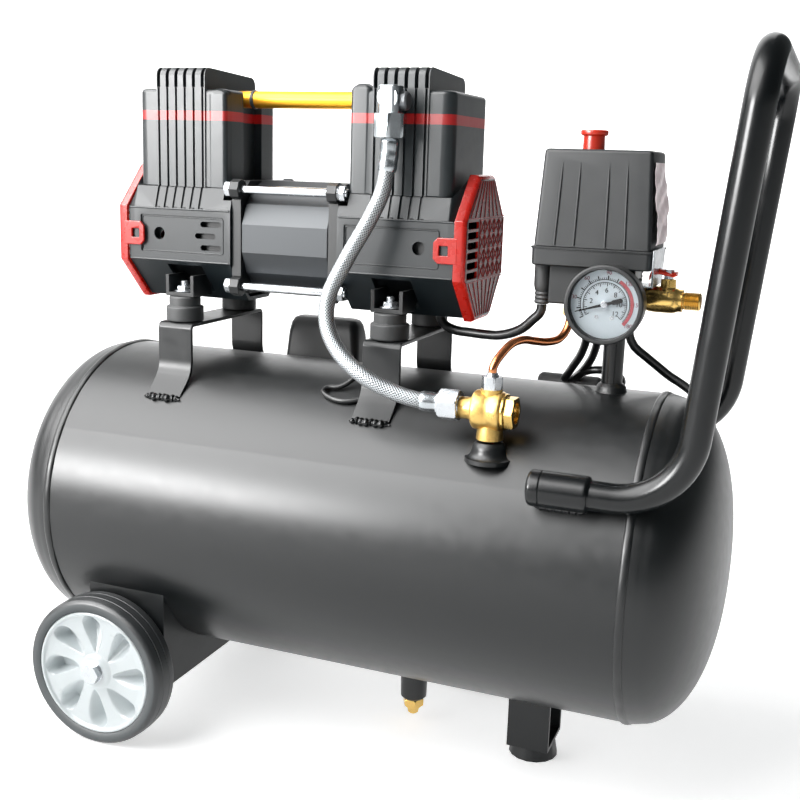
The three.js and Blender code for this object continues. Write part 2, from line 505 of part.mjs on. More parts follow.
function crankcaseCover(side) {
  const { halfY, halfZ, flatY, flatZ, wall } = COVER;
  const saddleEnd = HEAD.x + HEAD.width / 2 + GAP;
  const [a0, a1] = ordered(side * coverInner, side * (saddleEnd + 1));
  const [b0, b1] = ordered(side * saddleEnd, side * COVER.outer);
  const inside = octagon(halfY - wall, halfZ - wall, flatY - 1, flatZ - 1);
  const body = join(prismX(saddleOutline(), a0, a1), prismX(coverOutline, b0, b1));
  const skin = [-halfY - 12, wall + 1 - halfY]; // runs through the front wall only
  const slotX = side * (HEAD.x - 27);
  const slots = [[0, 9], [-5, 0], [0, -9]].map(([dx, z]) =>
    box(slotX - dx - 8, slotX - dx + 8, ...skin, z - 1.6, z + 1.6));
  const window = PUMP.footHalf + 3;
  const windows = [-1, 1].map((a) => box(side * MOUNT.x - window, side * MOUNT.x + window,
    a * (PUMP.footInner - 1), a * (halfY + 12), -halfZ - 7, -24));
  const [n0, n1] = ordered(side * (coverInner - 1), side * (HEAD.x - HEAD.width / 2));
  const notches = [-1, 1].map((a) => box(n0, n1, a * (FLANGE.earY - 9), a * (halfY + 12), FLANGE.earZ - 9, 50));
  const opening = headHalf - 9; // the cylinder stands in it
  const panel = box(side * (HEAD.x - 41), side * (HEAD.x + 36), -halfY - 1, 1 - halfY, -15, 15);
  return cut(body, prismX(inside, Math.min(a0, b0) - 1, Math.max(a1, b1) + 1),
    box(side * HEAD.x - opening, side * HEAD.x + opening, -opening, opening, 20, halfZ + 8),
    rodY(5, side * (HEAD.x + 17), 0.5, ...skin, 14), ...slots, ...windows, ...notches, panel);
}
function fanGuard(side) {
  const { halfY, halfZ, flatY, flatZ, wall, face } = GUARD;
  const inner = COVER.outer + GAP;
  const [g0, g1] = ordered(side * inner, side * guardOuter);
  const [h0, h1] = ordered(side * (inner - 1), side * (guardOuter - face));
  const skirt = prismX(octagon(halfY, halfZ, flatY, flatZ), g0, g1);
  const hollow = prismX(octagon(halfY - wall, halfZ - wall, flatY - 1, flatZ - 1), h0, h1);
  const tip = COVER.outer - GUARD.tab;
  const tab = (a) => {
    const shape = [[side * (inner + 1), -9.5], [side * (inner + 1), 9.5], [side * tip, 6], [side * tip, -6]];
    const [y0, y1] = ordered(a * (COVER.halfY + GAP), a * halfY);
    return cut(prismY(side > 0 ? shape : shape.reverse(), y0, y1),
      box(side * (tip + 4.8), side * (tip + 11.8), y0 - 1, y1 + 1, -3.5, 3.5));
  };
  const window = (y, halfWide, z, halfHigh) => box(side * (guardOuter - face - 1), side * (guardOuter + 1),
    y - halfWide, y + halfWide, z - halfHigh, z + halfHigh);
  const middle = (halfZ + flatZ) / 2 - 3;
  const windows = [
    ...range(4).flatMap((i) => [-1, 1].map((b) => window((i - 1.5) * 8.5, 3.1, b * middle, 10.5))),
    ...range(6).flatMap((i) => [-1, 1].map((a) => window(a * 32, 11, (i - 2.5) * 7.4, 2.3))),
    ...range(3).flatMap((i) => range(3).map((k) => window((i - 1) * 12, 4.6, (k - 1) * 13, 5))),
  ];
  return cut(join(skirt, tab(-1), tab(1)), hollow, ...windows);
}
function bearing(side) {
  const x = side * (FLANGE.inner + 0.5);
  return cut(rodX(BEARING.radius, 0, 0, x, x + side * BEARING.width, 16),
    rodX(SHAFT.radius + GAP, 0, 0, x - side, x + side * (BEARING.width + 1), 12));
}
for (const [where, side] of [["left", -1], ["right", 1]]) {
  place(`crankcase_${where}`, crankcase(side), M.aluminium, pumpFrame);
  place(`bearing_${where}`, bearing(side), M.steel, pumpFrame);
  place(`piston_rod_${where}`, pistonRod(side), M.aluminium, pumpFrame);
  place(`cylinder_${where}`, cylinder(side), M.aluminium, pumpFrame);
  place(`cylinder_head_${where}`, cylinderHead(side), M.aluminium, pumpFrame);
  place(`head_shroud_${where}`, headShroud(side), M.plastic, pumpFrame);
  place(`crankcase_cover_${where}`, crankcaseCover(side), M.plastic, pumpFrame);
  place(`fan_guard_${where}`, fanGuard(side), M.red, pumpFrame);
  place(`fan_${where}`, fan(side), M.plastic, pumpFrame);
}
const tieRod = () => {
  const end = flangeOuter + GAP;
  return join(rodX(ROD.radius, 0, 0, -end - 1, end + 1, 12),
    rodX(ROD.head, 0, 0, end, end + ROD.headLength, 6), rodX(ROD.head, 0, 0, -end - ROD.headLength, -end, 6));
};
for (const [level, b] of [["upper", 1], ["lower", -1]])
  for (const [end, a] of [["front", -1], ["rear", 1]])
    place(`tie_rod_${level}_${end}`, tieRod().translate(0, a * FLANGE.earY, b * FLANGE.earZ), M.steel,
      pumpFrame);

// The transfer tube joins the two cylinder heads.
const transferEnd = HEAD.x - headBlock - GAP;
place("transfer_tube", rodX(TRANSFER.radius, 0, TRANSFER.height, -transferEnd, transferEnd, 20), M.gold,
  pumpFrame);

// ---------- delivery: elbow, braided hose, check valve, unloader tube ----------
function deliveryElbow() {
  const { body, nut } = ELBOW;
  return join(rodY(body + 0.3, elbow.x, elbow.z, elbow.y - 8, -headHalf - GAP, 8),
    rodZ(body, elbow.x, elbow.y, elbow.nutLow + 14, elbow.z + 9, 8),
    rodZ(nut, elbow.x, elbow.y, elbow.nutLow, elbow.nutLow + 17, 6));
}
place("delivery_elbow", deliveryElbow(), M.steel);
const spigot = 20.9; // the valve's hose side reaches this far from its middle
const hosePoints = [[31.5, -58, 304.4], [31.5, -58, 297], [30.5, -59, 284], [28.5, -62, 267], [21, -68, 246],
  [8, -77, 218], [-2, -86, 190], [0, -92, 170], [12, -97, 152], [33, -100, 137], [53, -98, 128], [72, -95, 123],
  [88, -91.6, 121.8], [104.4, -91, 121.5]];
place("delivery_hose", tube(smooth(hosePoints), 5.9, 8, 34), M.steel);
function checkValve() {
  const { x, y, z, shell } = check;
  const { radius, bossRise } = CHECK_VALVE;
  return join(rodX(radius, y, z, x - 11, x + 10, 16), rodX(radius - 2.4, y, z, x + 9, x + 18.5, 6),
    rodX(8.5, y, z, x - spigot, x - 10, 12), rodZ(9, x, y, shell + bossRise + GAP, z, 12),
    rodZ(7.6, x, y, z, z + 27, 6));
}
place("check_valve", checkValve(), M.brass);
const unloader = [[126, -88, 146.8], [126, -88, 149.5], [127, -85.5, 153.5], [129.2, -80, 158.5],
  [133.8, -70, 165.2], [139, -60, 167], [144.7, -48, 165], [151, -38, 163.6], [157.5, -28, 165], [161, -21, 171],
  [162.4, -17.5, 180], [162.4, -17, 189.6]];
place("unloader_tube", tube(smooth(unloader), 3, 8, 20), M.copper);

// ---------- standpipe, pressure switch, gauge and outlet valve ----------
function standpipe() {
  const { radius, block } = PIPE;
  const body = join(rodZ(radius, pipeX, 0, bossTop + GAP, blockLow + 1, 20),
    roundedBox(pipeX - block, pipeX + block, -block, block, blockLow, blockTop, 3));
  return cut(body, rodZ(5, pipeX, 0, bossTop - 2, blockTop - 8, 12));
}
place("standpipe", standpipe(), M.black);
function switchBody() {
  const { x0, x1, y0, y1, bottom } = cased;
  const { tray, lip } = SWITCH;
  const floor = bottom - tray;
  const base = roundedBox(x0 - lip, x1 - 1, y0 - lip, y1 + lip, floor, bottom - GAP, 3);
  const under = box(pipeX - 47, pipeX - 15, -24, 18, underSwitch, floor + 1);
  const neck = box(pipeX - 15.1, pipeX + 14, -14, 14, blockTop + GAP, floor + 1);
  const contacts = box(x0 + 12, x1 - 22, y0 + 12, y1 - 12, bottom - 1, bottom + 45);
  const gland = rodZ(GLAND.radius, pipeX - GLAND.cableLeft, GLAND.cableY, underSwitch - 2, floor + 1, 10);
  const cordGland = rodZ(GLAND.cordRadius, pipeX + GLAND.cordRight, GLAND.cordY,
    bottom - GLAND.cordDrop, floor + 1, 10);
  return join(base, under, neck, contacts, gland, cordGland);
}
place("switch_body", switchBody(), M.plastic);
function switchCover() {
  const { x0, x1, y0, y1, bottom, top } = cased;
  const { draft, wall, knobLeft, knob } = SWITCH;
  const hull = (d, low, high) => {
    const wide = box(x0 + d, x1 - d, y0 + d, y1 - d, low, high);
    const p = wide.attributes.position;
    for (const i of range(p.count)) if (p.getZ(i) > (low + high) / 2) {
      p.setX(i, p.getX(i) + Math.sign((x0 + x1) / 2 - p.getX(i)) * draft);
      p.setY(i, p.getY(i) + Math.sign((y0 + y1) / 2 - p.getY(i)) * draft);
    }
    return wide;
  };
  return cut(hull(0, bottom, top), hull(wall, bottom - 1, top - wall),
    rodZ(knob + GAP, pipeX - knobLeft, 0, top - 5, top + 5, 16));
}
place("switch_cover", switchCover(), M.plastic);
function switchKnob() {
  const { knobLeft, knob, knobTop } = SWITCH;
  const low = cased.top - 8;
  const high = cased.top + knobTop;
  return turned([[0, low], [knob, low], [knob, high - 3.5], [knob + 2, high - 2], [knob + 2, high],
    [0, high]], 16).translate(pipeX - knobLeft, 0, 0);
}
place("switch_knob", switchKnob(), M.red);
function gauge() {
  const { radius, dial } = GAUGE;
  const body = join(rodY(radius, pipeX, gaugeZ, gaugeFront, gaugeBack, 24),
    rodY(6.5, pipeX, gaugeZ, gaugeBack - 1, -PIPE.block - GAP, 12));
  return cut(body, rodY(dial, pipeX, gaugeZ, gaugeFront - 1, gaugeFront + 7, 24));
}
place("gauge", gauge(), M.plastic);
function gaugeNeedle() {
  const { needle, rest } = GAUGE;
  const y = gaugeFront + 5;
  const hand = prismY([[-needle, -0.5], [0, -1.2], [11, -1.6], [11, 1.6], [0, 1.2], [-needle, 0.5]],
    y - 0.6, y + 0.6);
  return join(hand, rodY(3, 0, 0, y - 1.6, y + 1.6, 12)).rotateY(-THREE.MathUtils.degToRad(rest))
    .translate(pipeX, 0, gaugeZ);
}
place("gauge_needle", gaugeNeedle(), M.black);
function outletValve() {
  const { radius, nut, tail, bore, stem } = OUTLET;
  const [x, z] = [outletX, outletZ];
  return cut(join(rodX(7, 0, z, pipeX + PIPE.block + GAP, x + 2, 12), rodX(nut, 0, z, x, x + 7, 6),
    rodX(radius, 0, z, x + 6, x + 17, 16), rodX(nut - 0.5, 0, z, x + 16, x + 23.5, 6),
    rodX(tail, 0, z, x + 23, x + 35.5, 16), rodZ(4.5, x + 11.5, 0, z, z + stem, 12)),
  rodX(bore, 0, z, x + 14, x + 37, 12));
}
place("outlet_valve", outletValve(), M.brass);
function valveLever() {
  const x = outletX + 11.5;
  const z = outletZ + OUTLET.stem + GAP;
  return join(rodZ(6, x, 0, z, z + 5.5, 12), box(x - 13, x + 11, -4, 4, z + 2.5, z + 5),
    box(x - 13, x - 10.5, -4, 4, z + 2.5, z + 7.5));
}
place("valve_lever", valveLever(), M.red);
function drainPlug() {
  const { x, thread, plugDrop } = DRAIN;
  const low = -drainBossLow;
  return join(rodZ(thread, x, 0, low - 1, low + 12, 16), rodZ(9, x, 0, low - 7, low - GAP, 6),
    rodZ(5.5, x, 0, low - plugDrop, low - 6, 12));
}
place("drain_plug", drainPlug(), M.brass);

// ---------- wiring ----------
function capacitorBox() {
  const { left, right, front, back, low, high } = BOX;
  const [z0, z1] = [TANK.radius - low, TANK.radius + high];
  const shape = prismX([[front, z0], [back, z0 - 30], [back, z1 - 10], [back - 8, z1], [front, z1]],
    PUMP.x - left, PUMP.x + right);
  return cut(shape, tankBody(TANK.radius + GAP));
}
place("capacitor_box", capacitorBox(), M.plastic);
const motorCable = [[55, 0, 172.2], [55, 0, 170], [59, 0, 164], [68, 0, 160.5], [80, -1, 159.8], [92, -3, 159.6],
  [104.4, -6, 160.3], [116, -9, 163.5], [125.5, -11.5, 168.5], [133, -13, 175.5], [138, -13.8, 180.5],
  [139.5, -14, 184.5], [139.5, -14, 187.6]];
place("motor_cable", tube(smooth(motorCable), 3.7, 8, 22), M.rubber);
const cordRoute = [[200, 22, 169], [200, 22, 164.5], [204, 24, 156], [211, 28, 149.5], [220, 34, 141.5],
  [229, 42, 133], [238, 54, 125], [246, 67, 116], [254, 81, 103], [259.5, 95, 86], [261.5, 108, 64],
  [261.5, 121, 36], [260, 131, 2], [256.5, 138, -36], [250.5, 142, -74], [242, 144, -110], [230, 145, -142],
  [214, 146, -165], [196, 148, -176], [176, 151.5, -178.3], [156, 157.5, -178.3], [136, 165.5, -178.3],
  [118, 174, -178.3], [102, 182, -178.3], [88, 189.1, -178.3]];
place("mains_cord", tube(smooth(cordRoute), CORD.radius, 8, 44), M.rubber);
function strainRelief() {
  const top = cased.bottom - GLAND.cordDrop - GAP;
  const low = CORD.reliefLow + GAP;
  return turned([[0, low], [4.4, low], [5.6, top - 4], [6.4, top - 3], [6.4, top], [0, top]], 12)
    .translate(pipeX + GLAND.cordRight, GLAND.cordY, 0);
}
place("strain_relief", strainRelief(), M.rubber);
function cordCoil() {
  const { coilMiddle, coilHalf, coilHeight, coilX, coilY } = CORD;
  const low = GAP - axisZ;
  const [r0, r1] = [coilMiddle - coilHalf, coilMiddle + coilHalf];
  return turned([[r0, low], [r1, low], [r1, low + coilHeight], [r0, low + coilHeight], [r0, low]], 28)
    .translate(coilX, coilY, 0);
}
place("cord_coil", cordCoil(), M.rubber);
function mainsPlug() {
  const { x, y, length, half, pin, pinPitch, pinLength } = PLUG;
  const z = PLUG.z - axisZ;
  const pins = [-1, 1].map((a) =>
    rodX(pin, y + (a * pinPitch) / 2, z, x - length - pinLength, x - length + 1, 8));
  return join(rodX(4.6, y, z - 2, x, x + 14, 12),
    roundedBox(x - length, x + 1, y - half, y + half, z - 10, z + 8, 6), ...pins);
}
place("mains_plug", mainsPlug(), M.rubber);

export default compressor;
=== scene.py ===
"""Looks of a portable oil-free air compressor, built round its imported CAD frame.

Shapes are worked out in millimetres in the object's own frame: +X towards the handle, -Y the front,
+Z up, with the floor at zero. Surface.piece() turns them into metres.
"""

import json
import logging
import math
from collections.abc import Callable, Iterable, Sequence
from dataclasses import dataclass, field
from enum import Enum
from typing import Any

import bmesh
import bpy
import numpy as np
from mathutils import Matrix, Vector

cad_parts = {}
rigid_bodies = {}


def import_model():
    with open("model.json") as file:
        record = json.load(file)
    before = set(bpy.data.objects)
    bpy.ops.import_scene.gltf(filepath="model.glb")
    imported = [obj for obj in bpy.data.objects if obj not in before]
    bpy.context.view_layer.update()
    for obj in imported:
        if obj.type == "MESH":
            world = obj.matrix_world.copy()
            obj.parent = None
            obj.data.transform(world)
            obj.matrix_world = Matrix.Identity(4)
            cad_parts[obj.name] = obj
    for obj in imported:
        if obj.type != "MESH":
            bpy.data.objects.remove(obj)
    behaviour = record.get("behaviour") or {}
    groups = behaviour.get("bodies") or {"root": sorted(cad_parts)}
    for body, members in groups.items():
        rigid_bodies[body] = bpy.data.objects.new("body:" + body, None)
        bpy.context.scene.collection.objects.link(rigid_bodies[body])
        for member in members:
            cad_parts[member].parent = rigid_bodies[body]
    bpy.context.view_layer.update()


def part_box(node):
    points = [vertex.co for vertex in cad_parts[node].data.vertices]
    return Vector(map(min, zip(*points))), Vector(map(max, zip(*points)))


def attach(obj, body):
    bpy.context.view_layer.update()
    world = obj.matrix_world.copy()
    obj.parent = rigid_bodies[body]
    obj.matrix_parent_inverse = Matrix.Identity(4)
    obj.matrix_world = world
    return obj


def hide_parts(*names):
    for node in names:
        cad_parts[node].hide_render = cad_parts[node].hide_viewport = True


LOG = logging.getLogger("compressor")
MM = 0.001
TURN = 2 * math.pi
Vec = Sequence[float]


class Axis(Enum):
    """The axis that a shape is turned or carried along, with the order that takes (a, b, along) to XYZ."""

    X = (2, 0, 1)
    Y = (1, 2, 0)
    Z = (0, 1, 2)


class Side(Enum):
    """An end of the pump."""

    LEFT = -1
    RIGHT = 1


# ---------- surfaces ----------
def to_axis(points: np.ndarray, axis: Axis) -> np.ndarray:
    """Turn points given as (a, b, along) so that "along" runs on the axis.

    Args:
        points: an array whose last dimension is (a, b, along); about X, a is Y and b is Z, and about Y,
            a is Z and b is X.
        axis: where "along" goes.

    Returns:
        The same points as (x, y, z).
    """
    return points[..., list(axis.value)]


@dataclass
class Surface:
    """A mesh in the making: points in millimetres, faces as index rows, and a UV pair per face corner."""

    points: np.ndarray
    faces: list[list[int]]
    uvs: list[tuple[float, float]] = field(default_factory=list)

    def __add__(self, other: "Surface") -> "Surface":
        """Both surfaces in one mesh."""
        start = len(self.points)
        return Surface(
            np.vstack([self.points, other.points]),
            self.faces + [[i + start for i in face] for face in other.faces],
            self.full_uvs() + other.full_uvs(),
        )

    def full_uvs(self) -> list[tuple[float, float]]:
        """The UV pairs, or zeros where none were given."""
        return self.uvs or [(0.0, 0.0)] * sum(len(face) for face in self.faces)

    def moved(self, x: float = 0, y: float = 0, z: float = 0) -> "Surface":
        """The same surface moved."""
        return Surface(self.points + np.array([x, y, z], float), self.faces, self.uvs)

    def turned(self, matrix: np.ndarray) -> "Surface":
        """The same surface under a 3x3 matrix; a mirror also turns its faces round."""
        faces = self.faces if np.linalg.det(matrix) > 0 else [face[::-1] for face in self.faces]
        uvs = self.uvs if faces is self.faces else []
        return Surface(self.points @ matrix.T, faces, uvs)

    def fixed(self, name: str, *finishes: "Finish", **facts: Any) -> bpy.types.Object:
        """Make a piece that rides on the frame."""
        return self.piece(name, "frame", *finishes, **facts)

    def piece(self, name: str, body: str, *finishes: "Finish", smooth: float = 35,
              **facts: Any) -> bpy.types.Object:
        """Make the Blender object, in metres, dressed and riding on its body.

        Args:
            name: the piece's name.
            body: the CAD body that it moves with.
            finishes: one finish per material slot.
            smooth: edges sharper than this many degrees stay sharp.
            facts: bevel (mm), bevel_steps, carve (a Surface to cut away), replaces (node names); slot is not used.

        Returns:
            The finished object.
        """
        mesh = bpy.data.meshes.new(name)
        mesh.from_pydata((self.points * MM).tolist(), [], self.faces)
        if self.uvs:
            layer = mesh.uv_layers.new(name="UVMap")
            layer.data.foreach_set("uv", np.array(self.full_uvs(), np.float32).ravel())
        return dress(mesh, name, body, finishes, smooth, facts)


def dress(
    mesh: bpy.types.Mesh, name: str, body: str, finishes: Sequence["Finish"], smooth: float,
    facts: dict[str, Any]
) -> bpy.types.Object:
    """Link a mesh as a piece: outward faces, cuts, softened edges, finishes, body, what it replaces."""
    work = bmesh.new()
    work.from_mesh(mesh)
    bmesh.ops.recalc_face_normals(work, faces=work.faces)
    work.to_mesh(mesh)
    work.free()
    thing = bpy.data.objects.new(name, mesh)
    bpy.context.scene.collection.objects.link(thing)
    for finish in finishes:
        mesh.materials.append(finish.material())
    if facts.get("weld") is not None:
        carve(thing, facts["weld"], "UNION")
    if facts.get("carve") is not None:
        carve(thing, facts["carve"])
    if facts.get("bevel"):
        soften(thing, facts["bevel"], facts.get("bevel_steps", 3), facts.get("bevel_angle", 40))
    thing.data.polygons.foreach_set("use_smooth", np.ones(len(thing.data.polygons), bool))
    thing.data.set_sharp_from_angle(angle=math.radians(smooth))
    if facts.get("bevel"):
        even = thing.modifiers.new("even", "WEIGHTED_NORMAL")
        even.keep_sharp = True
        even.weight = 80
        baked(thing)
    if facts.get("replaces"):
        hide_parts(*facts["replaces"])
    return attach(thing, body)


def baked(thing: bpy.types.Object) -> None:
    """Apply a piece's modifiers to its mesh."""
    graph = bpy.context.evaluated_depsgraph_get()
    mesh = bpy.data.meshes.new_from_object(thing.evaluated_get(graph))
    thing.modifiers.clear()
    thing.data = mesh


def carve(thing: bpy.types.Object, tool: Surface, operation: str = "DIFFERENCE") -> None:
    """Cut a surface out of a piece, or weld it on."""
    mesh = bpy.data.meshes.new("tool")
    mesh.from_pydata((tool.points * MM).tolist(), [], tool.faces)
    work = bmesh.new()
    work.from_mesh(mesh)
    bmesh.ops.recalc_face_normals(work, faces=work.faces)
    work.to_mesh(mesh)
    work.free()
    cutter = bpy.data.objects.new("tool", mesh)
    bpy.context.scene.collection.objects.link(cutter)
    change = thing.modifiers.new("carve", "BOOLEAN")
    change.operation = operation
    change.solver = "EXACT"
    change.use_self = True
    change.object = cutter
    baked(thing)
    bpy.data.objects.remove(cutter)


def soften(thing: bpy.types.Object, width: float, steps: int, angle: float) -> None:
    """Round a piece's edges by a width in millimetres, after its flat faces are merged."""
    work = bmesh.new()
    work.from_mesh(thing.data)
    bmesh.ops.remove_doubles(work, verts=work.verts, dist=2e-5)
    bmesh.ops.dissolve_limit(
        work, angle_limit=math.radians(1), verts=work.verts, edges=work.edges, delimit={"MATERIAL"}
    )
    work.to_mesh(thing.data)
    work.free()
    bevel = thing.modifiers.new("soften", "BEVEL")
    bevel.width = width * MM
    bevel.segments = steps
    bevel.limit_method = "ANGLE"
    bevel.angle_limit = math.radians(angle)
    bevel.use_clamp_overlap = True
    bevel.miter_outer = "MITER_ARC"
    baked(thing)


def grid(rings: np.ndarray, closed: bool = False, caps: bool = True,
         along: np.ndarray | None = None) -> Surface:
    """Skin a stack of rings: point (i, j) of the grid joins to (i + 1, j) and (i, j + 1).

    Args:
        rings: points as (ring, place round it, xyz); each ring closes on itself.
        closed: the last ring joins the first, as on a torus.
        caps: the first and last ring are filled.
        along: each ring's distance along the skin, for V; U runs 0 to 1 round the ring.

    Returns:
        The skinned surface.
    """
    n, m = rings.shape[:2]
    rows = np.arange(n if closed else n - 1)[:, None]
    columns = np.arange(m)[None, :]
    after = (rows + 1) % n
    right = (columns + 1) % m
    quads = np.stack([rows * m + columns, rows * m + right, after * m + right, after * m + columns], -1)
    faces = quads.reshape(-1, 4).tolist()
    uvs: list[tuple[float, float]] = []
    if along is not None:
        u0 = np.broadcast_to(columns / m, (len(rows), m))
        v0 = np.broadcast_to(along[rows[:, 0]][:, None], (len(rows), m))
        v1 = np.broadcast_to(along[after[:, 0]][:, None], (len(rows), m))
        u1 = u0 + 1 / m
        pairs = np.stack([u0, v0, u1, v0, u1, v1, u0, v1], -1).reshape(-1, 2)
        uvs = list(map(tuple, pairs.tolist()))
    if caps and not closed:
        faces += [list(range(m))[::-1], list(range((n - 1) * m, n * m))]
        uvs += [(0.0, 0.0)] * (2 * m) if uvs else []
    return Surface(rings.reshape(-1, 3), faces, uvs)


def lathe(profile: Sequence[Vec], axis: Axis = Axis.Z, around: int = 64, closed: bool = False) -> Surface:
    """Turn a profile about an axis: point = (r cos t, r sin t, h).

    Args:
        profile: (radius, height) pairs. A closed profile returns to its first pair by itself.
        axis: the axis that height runs along.
        around: steps round the axis.
        closed: the profile is a loop clear of the axis.

    Returns:
        The turned surface; an end at zero radius closes on one point's width.
    """
    rh = np.array(profile, float)
    rh[:, 0] = np.maximum(rh[:, 0], 1e-3)
    t = np.linspace(0, TURN, around, endpoint=False)
    rings = np.stack(
        [rh[:, :1] * np.cos(t), rh[:, :1] * np.sin(t), np.broadcast_to(rh[:, 1:], (len(rh), around))], -1
    )
    return grid(to_axis(rings, axis), closed=closed)


def arc(cx: float, cy: float, radius: float, start: float, end: float, steps: int = 8) -> np.ndarray:
    """Points on an arc, centre plus radius times (cos, sin), from one angle to another in degrees."""
    t = np.radians(np.linspace(start, end, steps + 1))
    return np.stack([cx + radius * np.cos(t), cy + radius * np.sin(t)], -1)


def rounded(width: float, depth: float, radius: float, steps: int = 6) -> np.ndarray:
    """The outline of a rectangle about the origin whose corners are quarter circles."""
    x, y = width / 2 - radius, depth / 2 - radius
    corners = [(x, -y, -90), (x, y, 0), (-x, y, 90), (-x, -y, 180)]
    return np.vstack([arc(cx, cy, radius, a, a + 90, steps) for cx, cy, a in corners])


def prism(outline: np.ndarray | Sequence[Vec], low: float, high: float, axis: Axis = Axis.Z) -> Surface:
    """Carry an outline along an axis from one height to another.

    The outline's pairs are (y, z) about X, (x, z) about Y and (x, y) about Z.
    """
    pairs = np.array(outline, float)
    if axis is Axis.Y:
        pairs = pairs[:, ::-1]
    heights = np.array([low, high], float)
    rings = np.concatenate(
        [np.broadcast_to(pairs, (2, *pairs.shape)), np.broadcast_to(heights[:, None, None],
                (2, len(pairs), 1))], -1
    )
    return grid(to_axis(rings, axis))


def block(x0: float, x1: float, y0: float, y1: float, z0: float, z1: float) -> Surface:
    """A plain box, used as a cutter or before its edges are rounded."""
    return prism([(x0, y0), (x1, y0), (x1, y1), (x0, y1)], z0, z1)


def rod(radius: float, low: float, high: float, axis: Axis = Axis.Z, around: int = 48,
        edge: float = 0) -> Surface:
    """A round bar with rounded rims."""
    if not edge:
        return lathe([(0, low), (radius, low), (radius, high), (0, high)], axis, around)
    bottom = arc(radius - edge, low + edge, edge, -90, 0, 4)
    top = arc(radius - edge, high - edge, edge, 0, 90, 4)
    return lathe([(0, low), *bottom, *top, (0, high)], axis, around)


def hexagon(across: float, low: float, high: float, axis: Axis = Axis.Z, turn: float = 30) -> Surface:
    """A nut's or bolt head's body, whose corners are chamfered at both faces.

    The ring radius at polar angle t is across / 2 / cos(t') on the flats, held under a cone at each face.
    """
    count = 96
    t = np.arange(count) * TURN / count
    folded = (t - math.radians(turn) + math.pi / 6) % (math.pi / 3) - math.pi / 6
    flat = across / 2 / np.cos(folded)
    corner = across / 2 / math.cos(math.pi / 6)
    drop = corner - across / 2
    levels = np.array([[0, 0.02], [0, 0.93], [drop * 0.55, 1], [high - low - drop * 0.55, 1],
                       [high - low, 0.93],
                       [high - low, 0.02]])
    limit = levels[:, 1:] * corner
    radius = np.where(levels[:, 1:] < 0.5, limit, np.minimum(flat[None, :], limit))
    rings = np.stack([radius * np.cos(t), radius * np.sin(t),
                      np.broadcast_to(low + levels[:, :1], radius.shape)], -1)
    return grid(to_axis(rings, axis))


def frames(path: np.ndarray) -> tuple[np.ndarray, np.ndarray]:
    """Two directions across a path at each point, carried along it without twist."""
    tangent = np.gradient(path, axis=0)
    tangent /= np.linalg.norm(tangent, axis=1, keepdims=True)
    first = np.cross(tangent[0], [0.31, 0.87, 0.38])
    across = [first / np.linalg.norm(first)]
    for direction in tangent[1:]:
        kept = across[-1] - direction * (across[-1] @ direction)
        across.append(kept / np.linalg.norm(kept))
    u = np.array(across)
    return u, np.cross(tangent, u)


def lengths(path: np.ndarray) -> np.ndarray:
    """The distance along a path at each of its points."""
    return np.concatenate([[0.0], np.cumsum(np.linalg.norm(np.diff(path, axis=0), axis=1))])


def tube(path: np.ndarray, radius: float | np.ndarray, sides: int = 24, caps: bool = True) -> Surface:
    """Carry a circle along a path: point = path + r (u cos t + v sin t), with V as the distance.

    Args:
        path: centre points.
        radius: one radius, one per point, or a full (point, side) array.
        sides: points round the circle.
        caps: fill both ends.

    Returns:
        The tube.
    """
    u, v = frames(path)
    t = np.linspace(0, TURN, sides, endpoint=False)
    r = np.array(radius, float)
    r = r if r.ndim == 2 else np.broadcast_to(r.reshape(-1, 1), (len(path), sides))
    rings = (
        path[:, None]
        + r[..., None] * (u[:, None] * np.cos(t)[None, :, None] + v[:, None] * np.sin(t)[None, :, None])
    )
    return grid(rings, caps=caps, along=lengths(path))


def spline(points: Sequence[Vec], step: float = 2.0) -> np.ndarray:
    """A centripetal Catmull-Rom curve through points, sampled about every step millimetres."""
    p = np.array(points, float)
    p = np.vstack([2 * p[0] - p[1], p, 2 * p[-1] - p[-2]])
    knots = np.concatenate([[0.0], np.cumsum(np.linalg.norm(np.diff(p, axis=0), axis=1) ** 0.5)])
    parts = []
    for i in range(1, len(p) - 2):
        count = max(2, int(np.linalg.norm(p[i + 1] - p[i]) / step))
        t = np.linspace(knots[i], knots[i + 1], count, endpoint=False)[:, None]
        k = knots[i - 1 : i + 3]
        q = p[i - 1 : i + 3]
        a = [(k[j + 1] - t) / (k[j + 1] - k[j]) * q[j] + (t - k[j]) / (k[j + 1] - k[j]) * q[j + 1] for j in range(3)]
        b = [(k[j + 2] - t) / (k[j + 2] - k[j]) * a[j] + (t - k[j]) / (k[j + 2] - k[j]) * a[j + 1] for j in range(2)]
        parts.append((k[2] - t) / (k[2] - k[1]) * b[0] + (t - k[1]) / (k[2] - k[1]) * b[1])
    return np.vstack([*parts, p[-2:-1]])


def bent(corners: Sequence[Vec], radii: Sequence[float], step: float = 3.0) -> np.ndarray:
    """A bent bar's centre line: straight runs joined by tangent arcs of the given radii."""
    at = [np.array(corner, float) for corner in corners]
    points = [at[0]]
    for before, here, after, radius in zip(at, at[1:], at[2:], radii):
        back = (before - here) / np.linalg.norm(before - here)
        on = (after - here) / np.linalg.norm(after - here)
        half = math.acos(float(back @ on)) / 2
        centre = here + (back + on) / np.linalg.norm(back + on) * radius / math.sin(half)
        start = here + back * radius / math.tan(half)
        end = here + on * radius / math.tan(half)
        sweep = math.pi - 2 * half
        t = np.linspace(0, sweep, max(8, int(sweep * radius / step)))[:, None]
        points.append(
            centre + ((start - centre) * np.sin(sweep - t) + (end - centre) * np.sin(t)) / math.sin(sweep)
        )
    points.append(at[-1])
    path = np.vstack(points)
    s = lengths(path)
    even = np.linspace(0, s[-1], int(s[-1] / step))
    return np.stack([np.interp(even, s, path[:, i]) for i in range(3)], -1)


